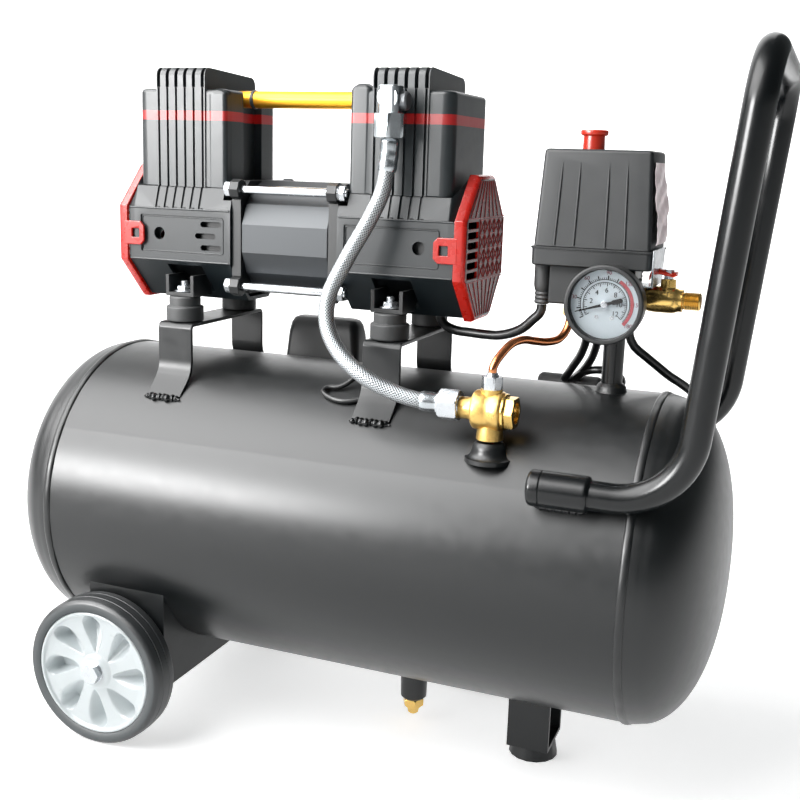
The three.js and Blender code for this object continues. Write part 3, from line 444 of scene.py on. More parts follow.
def together(parts: Iterable[Surface]) -> Surface:
    """Several surfaces in one mesh."""
    parts = list(parts)
    whole = parts[0]
    for part in parts[1:]:
        whole = whole + part
    return whole


def strip(path: Iterable[Vec], thick: float) -> list[Vec]:
    """The outline of a bent strip of plate, from a line through its middle."""
    line = np.array(list(path), float)
    ahead = np.gradient(line, axis=0)
    ahead /= np.linalg.norm(ahead, axis=1)[:, None]
    out = np.stack([-ahead[:, 1], ahead[:, 0]], -1) * thick / 2
    return [*(line + out), *(line - out)[::-1]]


def refined(node: str, name: str, body: str, finish: "Finish", bevel: float,
            smooth: float = 35) -> bpy.types.Object:
    """A CAD node's shape with its edges rounded, standing for the node."""
    mesh = bpy.data.objects[node].data.copy()
    mesh.materials.clear()
    work = bmesh.new()
    work.from_mesh(mesh)
    bmesh.ops.remove_doubles(work, verts=work.verts, dist=2e-5)
    work.to_mesh(mesh)
    work.free()
    return dress(mesh, name, body, [finish], smooth, {"bevel": bevel, "bevel_steps": 2, "replaces": [node]})


# ---------- shader maths ----------
class Socket:
    """A node's output that takes part in Python arithmetic; each operator adds its Math node."""

    def __init__(self, shader: "Shader", link: bpy.types.NodeSocket) -> None:
        """Keep the shader and the output."""
        self.shader = shader
        self.link = link

    def math(self, operation: str, *others: "Socket | float") -> "Socket":
        """Add a Math node that works on this socket and the others."""
        return self.shader.node("ShaderNodeMath", {"operation": operation}, [self, *others])

    def __add__(self, other: "Socket | float") -> "Socket":
        """The sum."""
        return self.math("ADD", other)

    def __sub__(self, other: "Socket | float") -> "Socket":
        """The difference."""
        return self.math("SUBTRACT", other)

    def __mul__(self, other: "Socket | float") -> "Socket":
        """The product."""
        return self.math("MULTIPLY", other)

    def __truediv__(self, other: "Socket | float") -> "Socket":
        """The quotient."""
        return self.math("DIVIDE", other)

    def __gt__(self, other: "Socket | float") -> "Socket":
        """One where this is greater."""
        return self.math("GREATER_THAN", other)

    def __lt__(self, other: "Socket | float") -> "Socket":
        """One where this is less."""
        return self.math("LESS_THAN", other)

    def __rsub__(self, other: float) -> "Socket":
        """A number less this."""
        return self.shader.node("ShaderNodeMath", {"operation": "SUBTRACT"}, [other, self])

    __radd__ = __add__
    __rmul__ = __mul__

    def clamped(self) -> "Socket":
        """Held between 0 and 1."""
        return self.shader.node("ShaderNodeClamp", {}, [self, 0.0, 1.0])

    def wave(self, pitch: float) -> "Socket":
        """A sine from 0 to 1 that repeats every pitch."""
        return (self * (TURN / pitch)).math("SINE") * 0.5 + 0.5


class Shader:
    """One material's nodes: the coordinates it reads and the Principled shader it ends in."""

    def __init__(self, name: str) -> None:
        """Start a material with its Principled shader."""
        self.made = bpy.data.materials.new(name)
        self.made.use_nodes = True
        self.tree = self.made.node_tree
        self.surface = self.tree.nodes["Principled BSDF"]
        self.places = self.tree.nodes.new("ShaderNodeTexCoord")

    def node(
        self, kind: str, settings: dict[str, Any], values: Sequence[Any] | dict[str, Any],
        output: int | str = 0
    ) -> Socket:
        """Add a node.

        Args:
            kind: the node's type.
            settings: its properties, set first; "stops" fills a colour ramp with (place, colour) pairs.
            values: numbers, colours or Sockets for its inputs, in order or by name.
            output: the output to use.

        Returns:
            The chosen output.
        """
        made = self.tree.nodes.new(kind)
        for key, value in settings.items():
            if key == "stops":
                ramp = made.color_ramp.elements
                while len(ramp) < len(value):
                    ramp.new(1.0)
                for stop, (place, colour) in zip(ramp, value):
                    stop.position, stop.color = place, (*colour, 1.0)
            else:
                setattr(made, key, value)
        pairs = values.items() if isinstance(values, dict) else enumerate(values)
        for key, value in pairs:
            self.feed(made.inputs[key], value)
        return Socket(self, made.outputs[output])

    def feed(self, target: bpy.types.NodeSocket, value: Any) -> None:
        """Link or set one input."""
        if isinstance(value, Socket):
            self.tree.links.new(value.link, target)
        elif target.type == "RGBA" and len(value) == 3:
            target.default_value = (*value, 1.0)
        else:
            target.default_value = value

    def place(self, axis: str) -> Socket:
        """One Object coordinate, in millimetres."""
        whole = self.node("ShaderNodeSeparateXYZ", {}, [self.at], axis)
        return whole / MM

    @property
    def at(self) -> Socket:
        """The Object coordinates."""
        return Socket(self, self.places.outputs["Object"])

    def lay(self, axis: str) -> Socket:
        """One of the piece's own UV coordinates."""
        return self.node("ShaderNodeSeparateXYZ", {}, [Socket(self, self.places.outputs["UV"])], axis)

    def noise(self, size: float, detail: float = 3, stretch: Vec = (1, 1, 1)) -> Socket:
        """Noise from 0 to 1 with features of about size millimetres, drawn out along an axis by stretch."""
        at = self.node("ShaderNodeMapping", {}, {"Vector": self.at, "Scale": tuple(1 / s for s in stretch)})
        return self.node("ShaderNodeTexNoise", {}, {"Vector": at, "Scale": 1 / (size * MM), "Detail": detail})

    def mixed(self, share: Socket, a: Any, b: Any) -> Socket:
        """A colour from a, at share 0, to b, at share 1."""
        return self.node("ShaderNodeMix", {"data_type": "RGBA"}, {0: share, 6: a, 7: b}, 2)

    def bumped(self, height: Socket, depth: float) -> None:
        """Give the surface relief: height 0 to 1 stands for depth millimetres."""
        values = {"Height": height, "Distance": depth * MM, "Strength": 1.0}
        self.feed(self.surface.inputs["Normal"], self.node("ShaderNodeBump", {}, values, "Normal"))

    def set(self, **values: Any) -> None:
        """Set or link the Principled shader's inputs by name, with _ for a space."""
        for key, value in values.items():
            self.feed(self.surface.inputs[key.replace("_", " ")], value)


# ---------- finishes ----------
@dataclass(frozen=True)
class Finish:
    """A finish: its colour, how it shines, and the fine relief and wear of the real one."""

    name: str
    slot: str
    colour: tuple[float, float, float]
    roughness: float = 0.4
    metallic: float = 0.0
    coat: float = 0.0
    relief: float = 0.0  # depth of the fine grain, mm
    grain: float = 1.0  # size of the fine grain, mm
    fade: float = 0.12  # how far the colour drifts in large patches
    scuff: float = 0.08  # how far the roughness drifts
    stretch: tuple[float, float, float] = (1, 1, 1)
    specular: float = 0.5

    def material(self) -> bpy.types.Material:
        """The finish's material, made once."""
        return bpy.data.materials.get(self.name) or self.make()

    def make(self) -> bpy.types.Material:
        """Build the nodes: drifting colour, drifting roughness and grain."""
        shader = Shader(self.name)
        drift = shader.noise(35)
        lift = tuple(min(1.0, c * (1 + self.fade)) for c in self.colour)
        drop = tuple(c * (1 - self.fade) for c in self.colour)
        base = shader.mixed(drift, drop, lift)
        rough = self.roughness + (shader.noise(9, 4) - 0.5) * (2 * self.scuff)
        shader.set(Base_Color=self.tint(shader, base), Roughness=self.gloss(shader, rough).clamped())
        shader.set(Metallic=self.metallic, Coat_Weight=self.coat, Specular_IOR_Level=self.specular)
        height = self.height(shader)
        if self.relief:
            shader.bumped(height, self.relief)
        return shader.made

    def tint(self, shader: Shader, base: Socket) -> Socket:
        """The colour with what is painted on it."""
        return base

    def gloss(self, shader: Shader, rough: Socket) -> Socket:
        """The roughness with what changes it."""
        return rough

    def height(self, shader: Shader) -> Socket:
        """The fine relief, from 0 to 1."""
        return shader.noise(self.grain, 2, self.stretch)


@dataclass(frozen=True)
class Striped(Finish):
    """Moulded plastic with a painted stripe round it between two heights."""

    low: float = 0.0
    high: float = 0.0
    stripe: tuple[float, float, float] = (0.42, 0.006, 0.006)

    def tint(self, shader: Shader, base: Socket) -> Socket:
        """Paint the stripe, whose edge wanders by a twentieth of a millimetre."""
        z = shader.place("Z") + (shader.noise(0.8, 1) - 0.5) * 0.1
        return shader.mixed((z > self.low) * (z < self.high), base, self.stripe)


@dataclass(frozen=True)
class GuardRedPaintedShade(Finish):
    """Red moulding whose outer face, past a distance from the middle, is painted a darker red: painted shade for the
    face that lies in shadow.
    """

    middle: float = 0.0
    reach: float = 0.0
    # deep: the darker red painted on the outer face as shade
    deep: tuple[float, float, float] = (0.11, 0.002, 0.002)

    def tint(self, shader: Shader, base: Socket) -> Socket:
        """Paint shade on the outer face: a darker red."""
        out = (shader.place("X") - self.middle).math("ABSOLUTE")
        return shader.mixed(out > self.reach, base, self.deep)


@dataclass(frozen=True)
class Laminated(Finish):
    """Lacquered stack of steel sheets: lines across the X axis, each sheet shining a little differently."""

    sheet: float = 0.65

    def gloss(self, shader: Shader, rough: Socket) -> Socket:
        """Every sheet shines a little differently."""
        sheets = shader.node("ShaderNodeTexNoise", {"noise_dimensions": "1D"},
                             {"W": shader.place("X") * (1 / self.sheet), "Scale": 1.0, "Detail": 0.0})
        return rough + (sheets - 0.5) * 0.25

    def height(self, shader: Shader) -> Socket:
        """A fine groove between sheets."""
        return shader.place("X").wave(self.sheet)


@dataclass(frozen=True)
class Brushed(Finish):
    """Drawn or turned metal, with fine lines along the stretch."""

    def gloss(self, shader: Shader, rough: Socket) -> Socket:
        """The lines scatter the shine."""
        return rough + (shader.noise(0.5, 3, self.stretch) - 0.5) * 0.16


@dataclass(frozen=True)
class CastBrass(Finish):
    """Brass with a sand-cast skin, dulled in patches."""

    def tint(self, shader: Shader, base: Socket) -> Socket:
        """Brown tarnish in the hollows of a coarse noise."""
        share = ((shader.noise(6, 5) - 0.48) * 4).clamped() * 0.55
        return shader.mixed(share, base, (0.2, 0.11, 0.03))

    def gloss(self, shader: Shader, rough: Socket) -> Socket:
        """Tarnish is duller."""
        return rough + ((shader.noise(6, 5) - 0.48) * 4).clamped() * 0.18


@dataclass(frozen=True)
class Woven(Finish):
    """Stainless wire braid: U runs round the hose and V along it in millimetres."""

    strands: int = 8
    pitch: float = 2.5

    def weave(self, shader: Shader) -> Socket:
        """The wires: the higher of two opposed spirals, each |sin(strands x U +- pi V / pitch)|."""
        u = shader.lay("X") * (TURN * self.strands)
        v = shader.lay("Y") * (math.pi / self.pitch)
        one, two = ((u + v).math("SINE").math("ABSOLUTE"), (u - v).math("SINE").math("ABSOLUTE"))
        return one.math("MAXIMUM", two)

    def tint(self, shader: Shader, base: Socket) -> Socket:
        """Darker between the wires."""
        return shader.mixed(((0.93 - self.weave(shader)) * 3.2).clamped(), base, (0.05, 0.055, 0.06))

    def height(self, shader: Shader) -> Socket:
        """Raised wires."""
        return self.weave(shader)


@dataclass(frozen=True)
class TyreRubber(Finish):
    """Tyre rubber: the sidewall is bloomed grey, and the tread, past a radius, is darker and shines."""

    axle: tuple[float, float] = (0.0, 0.0)
    tread: float = 0.0

    def outside(self, shader: Shader) -> Socket:
        """One on the tread: the distance from the axle in X and Z is over the tread radius."""
        x = shader.place("X") - self.axle[0]
        z = shader.place("Z") - self.axle[1]
        return (x * x + z * z).math("SQRT") > self.tread

    def tint(self, shader: Shader, base: Socket) -> Socket:
        """The tread's darker rubber."""
        return shader.mixed(self.outside(shader), base, (0.022, 0.025, 0.027))

    def gloss(self, shader: Shader, rough: Socket) -> Socket:
        """The tread shines more."""
        return rough - self.outside(shader) * 0.28


@dataclass(frozen=True)
class ClearLens(Finish):
    """Thin clear plastic that shows what is behind it."""

    def make(self) -> bpy.types.Material:
        """A mostly see-through glossy skin with faint smears."""
        shader = Shader(self.name)
        smear = shader.noise(7, 4)
        shader.set(Base_Color=self.colour, Roughness=self.roughness + smear * self.scuff, Alpha=0.06)
        return shader.made


class Paint:
    """Every finish on the machine."""

    tank = Finish("tank_enamel", "black_paint", (0.0016, 0.0030, 0.0036), 0.33, relief=0.003, grain=3.0,
                  scuff=0.05,
                  specular=0.5)
    tube = Finish("tube_enamel", "black_paint", (0.0016, 0.0028, 0.0034), 0.24, relief=0.003, grain=2.2,
                  scuff=0.04,
                  specular=0.4)
    bracket = Finish("bracket_enamel", "black_paint", (0.0020, 0.0036, 0.0044), 0.34, relief=0.012, grain=1.5,
                     specular=0.4)
    shell = Finish("shell_plastic", "black_plastic", (0.0050, 0.0095, 0.0120), 0.4, relief=0.03, grain=0.5,
                   scuff=0.05, specular=0.4)
    dark = Finish("dark_plastic", "black_plastic", (0.0022, 0.0036, 0.0044), 0.42, relief=0.03, grain=0.6,
                  specular=0.4)
    cover = Finish("switch_plastic", "black_plastic", (0.0022, 0.0046, 0.0058), 0.46, relief=0.05, grain=0.55,
                   specular=0.35)
    red = Finish("red_plastic", "red_plastic", (0.60, 0.010, 0.006), 0.36, relief=0.02, grain=0.7, fade=0.06,
                 specular=0.3)
    gold = Brushed("gold_anodised", "gold_anodised", (0.62, 0.22, 0.006), 0.24, 1.0, relief=0.006, grain=0.4,
                   stretch=(30, 1, 1), fade=0.05, scuff=0.03)
    zinc = Brushed("zinc_plate", "steel", (0.48, 0.50, 0.52), 0.26, 1.0, relief=0.012, grain=0.7)
    rods = Brushed("bright_rod", "steel", (0.56, 0.58, 0.60), 0.16, 1.0, relief=0.002, grain=0.4,
                   stretch=(25, 1, 1))
    chrome = Finish("nickel_plate", "chrome", (0.46, 0.49, 0.51), 0.24, 1.0, relief=0.02, grain=3.5,
                    scuff=0.06)
    braid = Woven("steel_braid", "braid", (0.44, 0.46, 0.47), 0.34, 0.9, relief=0.14)
    brass = CastBrass("cast_brass", "brass", (0.62, 0.41, 0.13), 0.3, 1.0, relief=0.10, grain=1.1)
    turned = Brushed("turned_brass", "brass", (0.72, 0.48, 0.15), 0.22, 1.0, relief=0.01, grain=0.5)
    copper = Finish("copper_tube", "copper", (0.70, 0.26, 0.11), 0.22, 1.0, relief=0.02, grain=4.0, scuff=0.1,
                    fade=0.2)
    rubber = Finish("mount_rubber", "rubber", (0.006, 0.008, 0.009), 0.6, relief=0.05, grain=0.5)
    cable = Finish("cable_sheath", "rubber", (0.0035, 0.0045, 0.005), 0.32, relief=0.02, grain=1.2)
    white = Finish("hub_plastic", "white_plastic", (0.56, 0.60, 0.61), 0.3, relief=0.01, grain=1.5, fade=0.02,
                   specular=0.4)
    alloy = Finish("cast_alloy", "cast_aluminium", (0.10, 0.105, 0.11), 0.46, 0.8, relief=0.12, grain=0.9)
    dial = Finish("dial_card", "white_plastic", (0.58, 0.66, 0.71), 0.5, relief=0.004, grain=0.4, fade=0.03)
    ink = Finish("dial_ink", "black_plastic", (0.006, 0.006, 0.007), 0.6, fade=0.1, specular=0.2)
    mark = Finish("dial_red", "red_plastic", (0.42, 0.012, 0.03), 0.6, fade=0.1)
    plum = Finish("dial_outer_ink", "red_plastic", (0.20, 0.02, 0.05), 0.6, fade=0.1)
    rib = Finish("guard_rib", "red_plastic", (0.34, 0.022, 0.02), 0.4, fade=0.08, specular=0.3)
    film = Finish("label_film", "white_plastic", (0.78, 0.66, 0.68), 0.35, relief=0.25, grain=5.0, fade=0.2)
    lens = ClearLens("gauge_lens", "white_plastic", (0.0, 0.0, 0.0), 0.03, scuff=0.03)
    stator = Laminated("stator_lacquer", "stator_lacquer", (0.016, 0.021, 0.024), 0.26, 0.35, relief=0.05)


# ---------- places from the frame ----------
@dataclass(frozen=True)
class Places:
    """Where the main groups stand, in millimetres, worked out from the CAD nodes' boxes."""

    tank: tuple[float, float]  # middle of the tank along X, height of its axis
    pump: tuple[float, float]  # middle of the motor along X, height of its shaft

    @staticmethod
    def middle(node: str) -> np.ndarray:
        """The middle of a node's box, in millimetres."""
        low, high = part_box(node)
        return (np.array(low) + np.array(high)) / (2 * MM)

    @classmethod
    def found(cls) -> "Places":
        """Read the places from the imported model."""
        tank_x = cls.middle("tank")[0]
        stator = cls.middle("stator")
        floor_to_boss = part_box("tank")[0].z / MM
        return cls((tank_x, floor_to_boss + Tank.radius + Tank.boss_drop), (stator[0], stator[2]))


def weld_bead(path: np.ndarray, width: float, ripple: float = 0.35, pitch: float = 2.4) -> Surface:
    """A bead of weld along a path: a bar whose radius swells every pitch millimetres, as the puddle froze."""
    s = lengths(path)
    taper = np.clip(np.minimum(s, s[-1] - s) / width, 0.05, 1) ** 0.5
    return tube(path, width / 2 * taper * (1 + ripple * np.abs(np.sin(math.pi * s / pitch)) - ripple / 2), 12)


# ---------- tank, handle and wheels ----------
@dataclass
class Tank:
    """The receiver: rolled shell, dished ends, seams, bosses, sleeves and the bent handle."""

    radius: float = 125.0
    half: float = 232.0
    dome: float = 58.0
    power: float = 2.3
    boss_drop: float = 32.0
    sleeve: tuple[float, float] = (163.0, 206.0)
    handle_at: tuple[float, float] = (115.3, 76.0)
    handle_x: tuple[float, float, float] = (170.0, 265.5, 292.3)
    handle_top: float = 362.0
    bends: tuple[float, float] = (50.0, 34.0)
    bar: float = 10.0
    pipe_x: float = 193.0
    check: tuple[float, float] = (126.0, -88.0)
    drain_x: float = 43.7

    def profile(self) -> list[Vec]:
        """Half the outline from the pole to the middle, as (radius, distance from the middle).

        The end is a superellipse: (r / R)^p + (h / D)^p = 1. A joggle, a shallow waist by the seam, lets
        the end slip into the shell, and the seam itself stands proud.
        """
        a = np.linspace(0, math.pi / 2, 40)
        r = self.radius * np.sin(a) ** (2 / self.power)
        h = self.half + self.dome * np.cos(a) ** (2 / self.power)
        joggle = 0.5 * np.exp(-(((h - self.half - 11) / 3.0) ** 2))
        end = np.stack([r - joggle, h], -1)[:-1]
        t = np.linspace(0, math.pi, 13)
        seam = np.stack([self.radius + 1.4 * np.sin(t), self.half + 3 * np.cos(t)], -1)
        return [*end[end[:, 1] > self.half + 3.2], *seam]

    def shell(self) -> Surface:
        """The whole outside, with the weld's ripples on both seams."""
        right = np.array(self.profile())
        run = np.array([[self.radius, x] for x in np.linspace(self.half - 6, 0, 12)])
        half = np.vstack([right, run])
        outline = np.vstack([half, (half * [1, -1])[-2::-1]])
        made = lathe(outline, Axis.X, 192)
        x, y, z = made.points.T
        rad = np.hypot(y, z)
        proud = (rad > self.radius + 0.3) & (np.abs(np.abs(x) - self.half) < 3)
        ripple = 1 + proud * 0.0028 * (np.abs(np.sin(np.arctan2(z, y) * 82)) - 0.5)
        made.points = np.stack([x, y * ripple, z * ripple], -1)
        return made

    def boss(self, x: float, y: float, radius: float, reach: float, direction: int) -> Surface:
        """A threaded boss with a weld fillet that flares onto the shell."""
        base = math.sqrt(self.radius**2 - y**2)
        foot = [(radius + 5 * (1 - math.sin(t)), base - 3 + 7 * (1 - math.cos(t))) for t in np.linspace(0,
                1.45, 7)]
        top = [(radius - 0.5, base + reach - 2), (radius - 2.5, base + reach), (0, base + reach)]
        made = lathe([(0, base - 6), (radius + 5.2, base - 6), *foot, *top], Axis.Z, 48)
        return Surface(made.points * [1, 1, direction], made.faces).moved(x, y)

    def build(self, at: Places) -> None:
        """Make the tank, its welds, the sleeves and the handle."""
        x, z = at.tank
        self.shell().moved(x, 0, z).fixed("tank_shell", Paint.tank, replaces=["tank"], smooth=50)
        bosses = [self.boss(self.pipe_x, 0, 11, 6, 1), self.boss(*self.check, 12, 8.2, 1),
                  self.boss(self.drain_x, 0, 11.5, self.boss_drop, -1)]
        together(bosses).moved(x, 0, z).fixed("tank_bosses", Paint.tank)
        for name, side in (("front", -1), ("rear", 1)):
            self.handle_sleeve(side).moved(x, 0, z).fixed(f"handle_sleeve_{name}", Paint.tube)
            self.sleeve_weld(side).moved(x, 0, z).fixed(f"handle_weld_{name}", Paint.tank)
        self.handle().moved(x, 0, z).fixed("handle_bar", Paint.tube, replaces=["handle"])

    def handle_sleeve(self, side: int) -> Surface:
        """A short outer tube, capped at its blind end and swaged down to the bar at the other."""
        start, end = self.sleeve
        r = self.bar + 2.5
        profile = [(0, start), *arc(r - 3.2, start + 3.2, 3.2, -90, 0, 6), (r, start + 8.4),
                   (r - 0.5, start + 9),
                   (r, start + 9.6), (r, end - 5), *arc(r - 2.2, end - 3.5, 2.2, 0, 80, 5),
                   (self.bar - 0.1, end)]
        y, z = self.handle_at
        return lathe([*profile, (0, end)], Axis.X, 64).moved(0, side * y, z)

    def sleeve_weld(self, side: int) -> Surface:
        """The beads above and below a sleeve, where it lies on the shell."""
        start, end = self.sleeve
        angle = math.atan2(self.handle_at[1], self.handle_at[0])
        beads = []
        for offset in (-0.066, 0.066):
            xs = np.linspace(start + 2, end - 3, 40)
            reach = self.radius + 1.2
            y = side * reach * math.cos(angle + offset)
            z = reach * math.sin(angle + offset)
            beads.append(weld_bead(np.stack([xs, np.full_like(xs, y), np.full_like(xs, z)], -1), 5.5))
        return together(beads)

    def handle(self) -> Surface:
        """The bent bar, from inside one sleeve over the top and into the other."""
        end, foot, top = self.handle_x
        y, z = self.handle_at
        front = [(end, -y, z), (foot, -y, z), (top, -y, self.handle_top)]
        rear = [(px, -py, pz) for px, py, pz in reversed(front)]
        low, high = self.bends
        return tube(bent([*front, *rear], [low, high, high, low]), self.bar, 48)


@dataclass
class Wheel:
    """A blow-moulded hub with swept hollows, its tyre, and the axle bolt's head."""

    radius: float = 61.5
    rim: float = 51.3
    width: float = 27.0
    inner: float = 114.0
    hub: float = 12.5
    petals: int = 8
    hollow: tuple[float, float] = (16.0, 47.6)
    sweep: float = 0.16
    deep: float = 15.0

    def face(self) -> np.ndarray:
        """The hub's face as a height over a polar grid.

        The bowl falls from the rim's lip to a low ring and rises to the hub. Each hollow lies about a
        spiral, angle = sweep x share of the way out; across it the depth is a bump with one steep bank.
        """
        r = np.concatenate([np.linspace(0.02, self.hub, 8), np.linspace(self.hub + 0.6, 47.8, 66),
                            np.linspace(48.1, self.rim, 10)])
        t = np.linspace(0, TURN, 360, endpoint=False)
        rr, tt = np.meshgrid(r, t, indexing="ij")
        w = self.width
        bowl = np.interp(r, [0, 11.5, 12.5, 15, 22, 42, 47.7, 48.6, 49.8, 50.7, self.rim],
                         [w - 3, w - 3, w - 3.4, w - 4.8, w - 5.2, w - 3.8, w - 2.9, w - 1.0, w - 0.7,
                          w - 1.0, w - 2.4])
        lo, hi = self.hollow
        share = np.clip((rr - lo) / (hi - lo), 0, 1)
        step = TURN / self.petals
        phase = (tt - self.sweep * (share - 0.5) + step / 2) % step - step / 2
        wide = 11.8 * share**0.62 * np.clip(1 - share**6, 0, 1) ** 0.5
        half = wide / rr + 1e-6
        s = phase / half
        near = np.clip((s + 1) / 0.95, 0, 1)
        far = np.clip((1 - s) / 0.4, 0, 1)
        bank = (near * near * (3 - 2 * near)) * (far * far * (3 - 2 * far))
        end = np.clip(share / 0.85, 0, 1) ** 0.8 * np.clip((1 - share) / 0.16, 0, 1) ** 0.5
        height = bowl[:, None] - self.deep * bank * end * (np.abs(s) < 1)
        return np.stack([rr * np.cos(tt), rr * np.sin(tt), height], -1)

    def hub_surface(self) -> Surface:
        """The face, the rim's edge and the plain back."""
        face = self.face()
        m = face.shape[1]
        t = np.linspace(0, TURN, m, endpoint=False)
        edge = np.array([[self.rim, 1.5], [self.rim - 1.5, 0], [self.hub + 6, 0], [self.hub + 5, -1.6],
                         [0.02, -1.6]])
        rings = np.stack([edge[:, :1] * np.cos(t), edge[:, :1] * np.sin(t),
                          np.broadcast_to(edge[:, 1:], (len(edge), m))], -1)
        return grid(np.concatenate([face, rings]))

    def tyre_surface(self) -> Surface:
        """A closed band: flat sidewalls with a step, a crowned tread with a bead line by each shoulder."""
        w, out, rim = self.width, self.radius, self.rim
        half = [(rim + 0.1, 0), (rim + 0.1, 12.3), (rim + 1.6, 13.1), (out - 5.5, 13.2),
                *arc(out - 4.5, 9.2, 4, 80, 8, 6),
                (out - 0.1, 4.4), (out - 0.6, 4.0), (out, 3.6), (out, 0)]
        mirror = [(r, -h) for r, h in half[-2:0:-1]]
        return lathe([(r, h + w / 2) for r, h in half + mirror], Axis.Z, 160, closed=True)

    def build(self, where: str, side: int) -> None:
        """Make one wheel, on the axle that the CAD tyre turns about."""
        middle = Places.middle(f"tyre_{where}")
        facing = np.array([[1, 0, 0], [0, 0, side], [0, 1, 0]], float)
        body = f"wheel_{where}"

        def stood(part: Surface) -> Surface:
            """Stand a part up on the axle."""
            return part.moved(0, 0, self.inner).turned(facing).moved(middle[0], 0, middle[2])

        stood(self.hub_surface()).piece(f"hub_{where}", body, Paint.white, replaces=[f"wheel_hub_{where}"],
                                        smooth=50)
        rubber = TyreRubber("tyre_rubber", "tyre", (0.022, 0.031, 0.034), 0.66, relief=0.05, grain=0.8,
                            axle=(middle[0], middle[2]), tread=self.radius - 3.6)
        stood(self.tyre_surface()).piece(f"rubber_tyre_{where}", body, rubber, replaces=[f"tyre_{where}"],
                smooth=50)
        face = self.width
        bolt = (hexagon(14, face - 2.6, face + 3.4) + rod(8.4, face - 3.2, face - 2.4, edge=0.3)
                + rod(5, -9, face - 2) + hexagon(14, -14.5, -8.5))
        stood(bolt).fixed(f"axle_{where}", Paint.zinc, replaces=[f"axle_bolt_{where}"])


@dataclass
class Brackets:
    """The pressed brackets and the foot, the CAD shapes with rolled edges and weld beads."""

    half: float = 60.0
    flare: float = 18.0
    width: float = 31.0
    mount_x: float = 90.5

    def build(self, at: Places) -> None:
        """Make the brackets, foot and capacitor box, and the beads that hold them."""
        x, z = at.tank
        corner = [(55.0 + 3.5 * math.sin(t), 151.0 + 3.5 * math.cos(t)) for t in np.linspace(0, math.pi / 2,
                7)]
        leg = [(0.0, 154.5), (30.0, 154.5), *corner, (58.5, 126), (58.9, 121), (60.4, 116.4), (62.9, 112.2),
               (66.4, 108.2), (70.6, 104.3), (77.0, 98.4)]
        whole = [(-y, up) for y, up in leg[:0:-1]] + leg
        for where, side in (("left", -1), ("right", 1)):
            middle = at.pump[0] - x + side * self.mount_x
            plate = prism(strip(whole, 3.0), middle - self.width / 2, middle + self.width / 2, Axis.X)
            plate.moved(x, 0, z).fixed(f"bracket_{where}", Paint.bracket, bevel=0.8, bevel_steps=2,
                                       replaces=[f"pump_bracket_{where}"])
        refined("wheel_bracket", "axle_bracket", "frame", Paint.bracket, 0.9)
        refined("front_foot", "front_leg", "frame", Paint.bracket, 1.2)
        low, high = (np.array(v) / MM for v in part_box("capacitor_box"))
        rings = []
        for h, inset, r in [(0, 0, 4), (0.55, 2.6, 6), (0.8, 3.8, 7), (0.92, 5.4, 7), (0.98, 7.8, 6),
                            (1, 11, 5)]:
            outline = rounded(high[0] - low[0] - 2 * inset, high[1] - low[1] - 2 * inset, r)
            rings.append(np.column_stack([outline + (low + high)[:2] / 2,
                    np.full(28, low[2] + (high[2] - low[2]) * h)]))
        grid(np.stack(rings)).fixed("capacitor_case", Paint.dark, replaces=["capacitor_box"], smooth=50)
        beads = []
        for side in (-1, 1):
            for sign in (-1, 1):
                angle = math.acos((self.half + self.flare + 0.6) / Tank.radius)
                middle = at.pump[0] - x + side * self.mount_x
                xs = np.linspace(middle - self.width / 2 - 1, middle + self.width / 2 + 1, 60)
                y = sign * (Tank.radius + 0.6) * math.cos(angle)
                up = (Tank.radius + 0.6) * math.sin(angle)
                wander = 0.9 * np.sin(xs * 0.55)
                line = np.stack([xs, np.full_like(xs, y) + sign * wander, np.full_like(xs, up)], -1)
                beads.append(weld_bead(line, 5.6, 0.5, 4.2))
        together(beads).moved(x, 0, z).fixed("bracket_welds", Paint.tube)


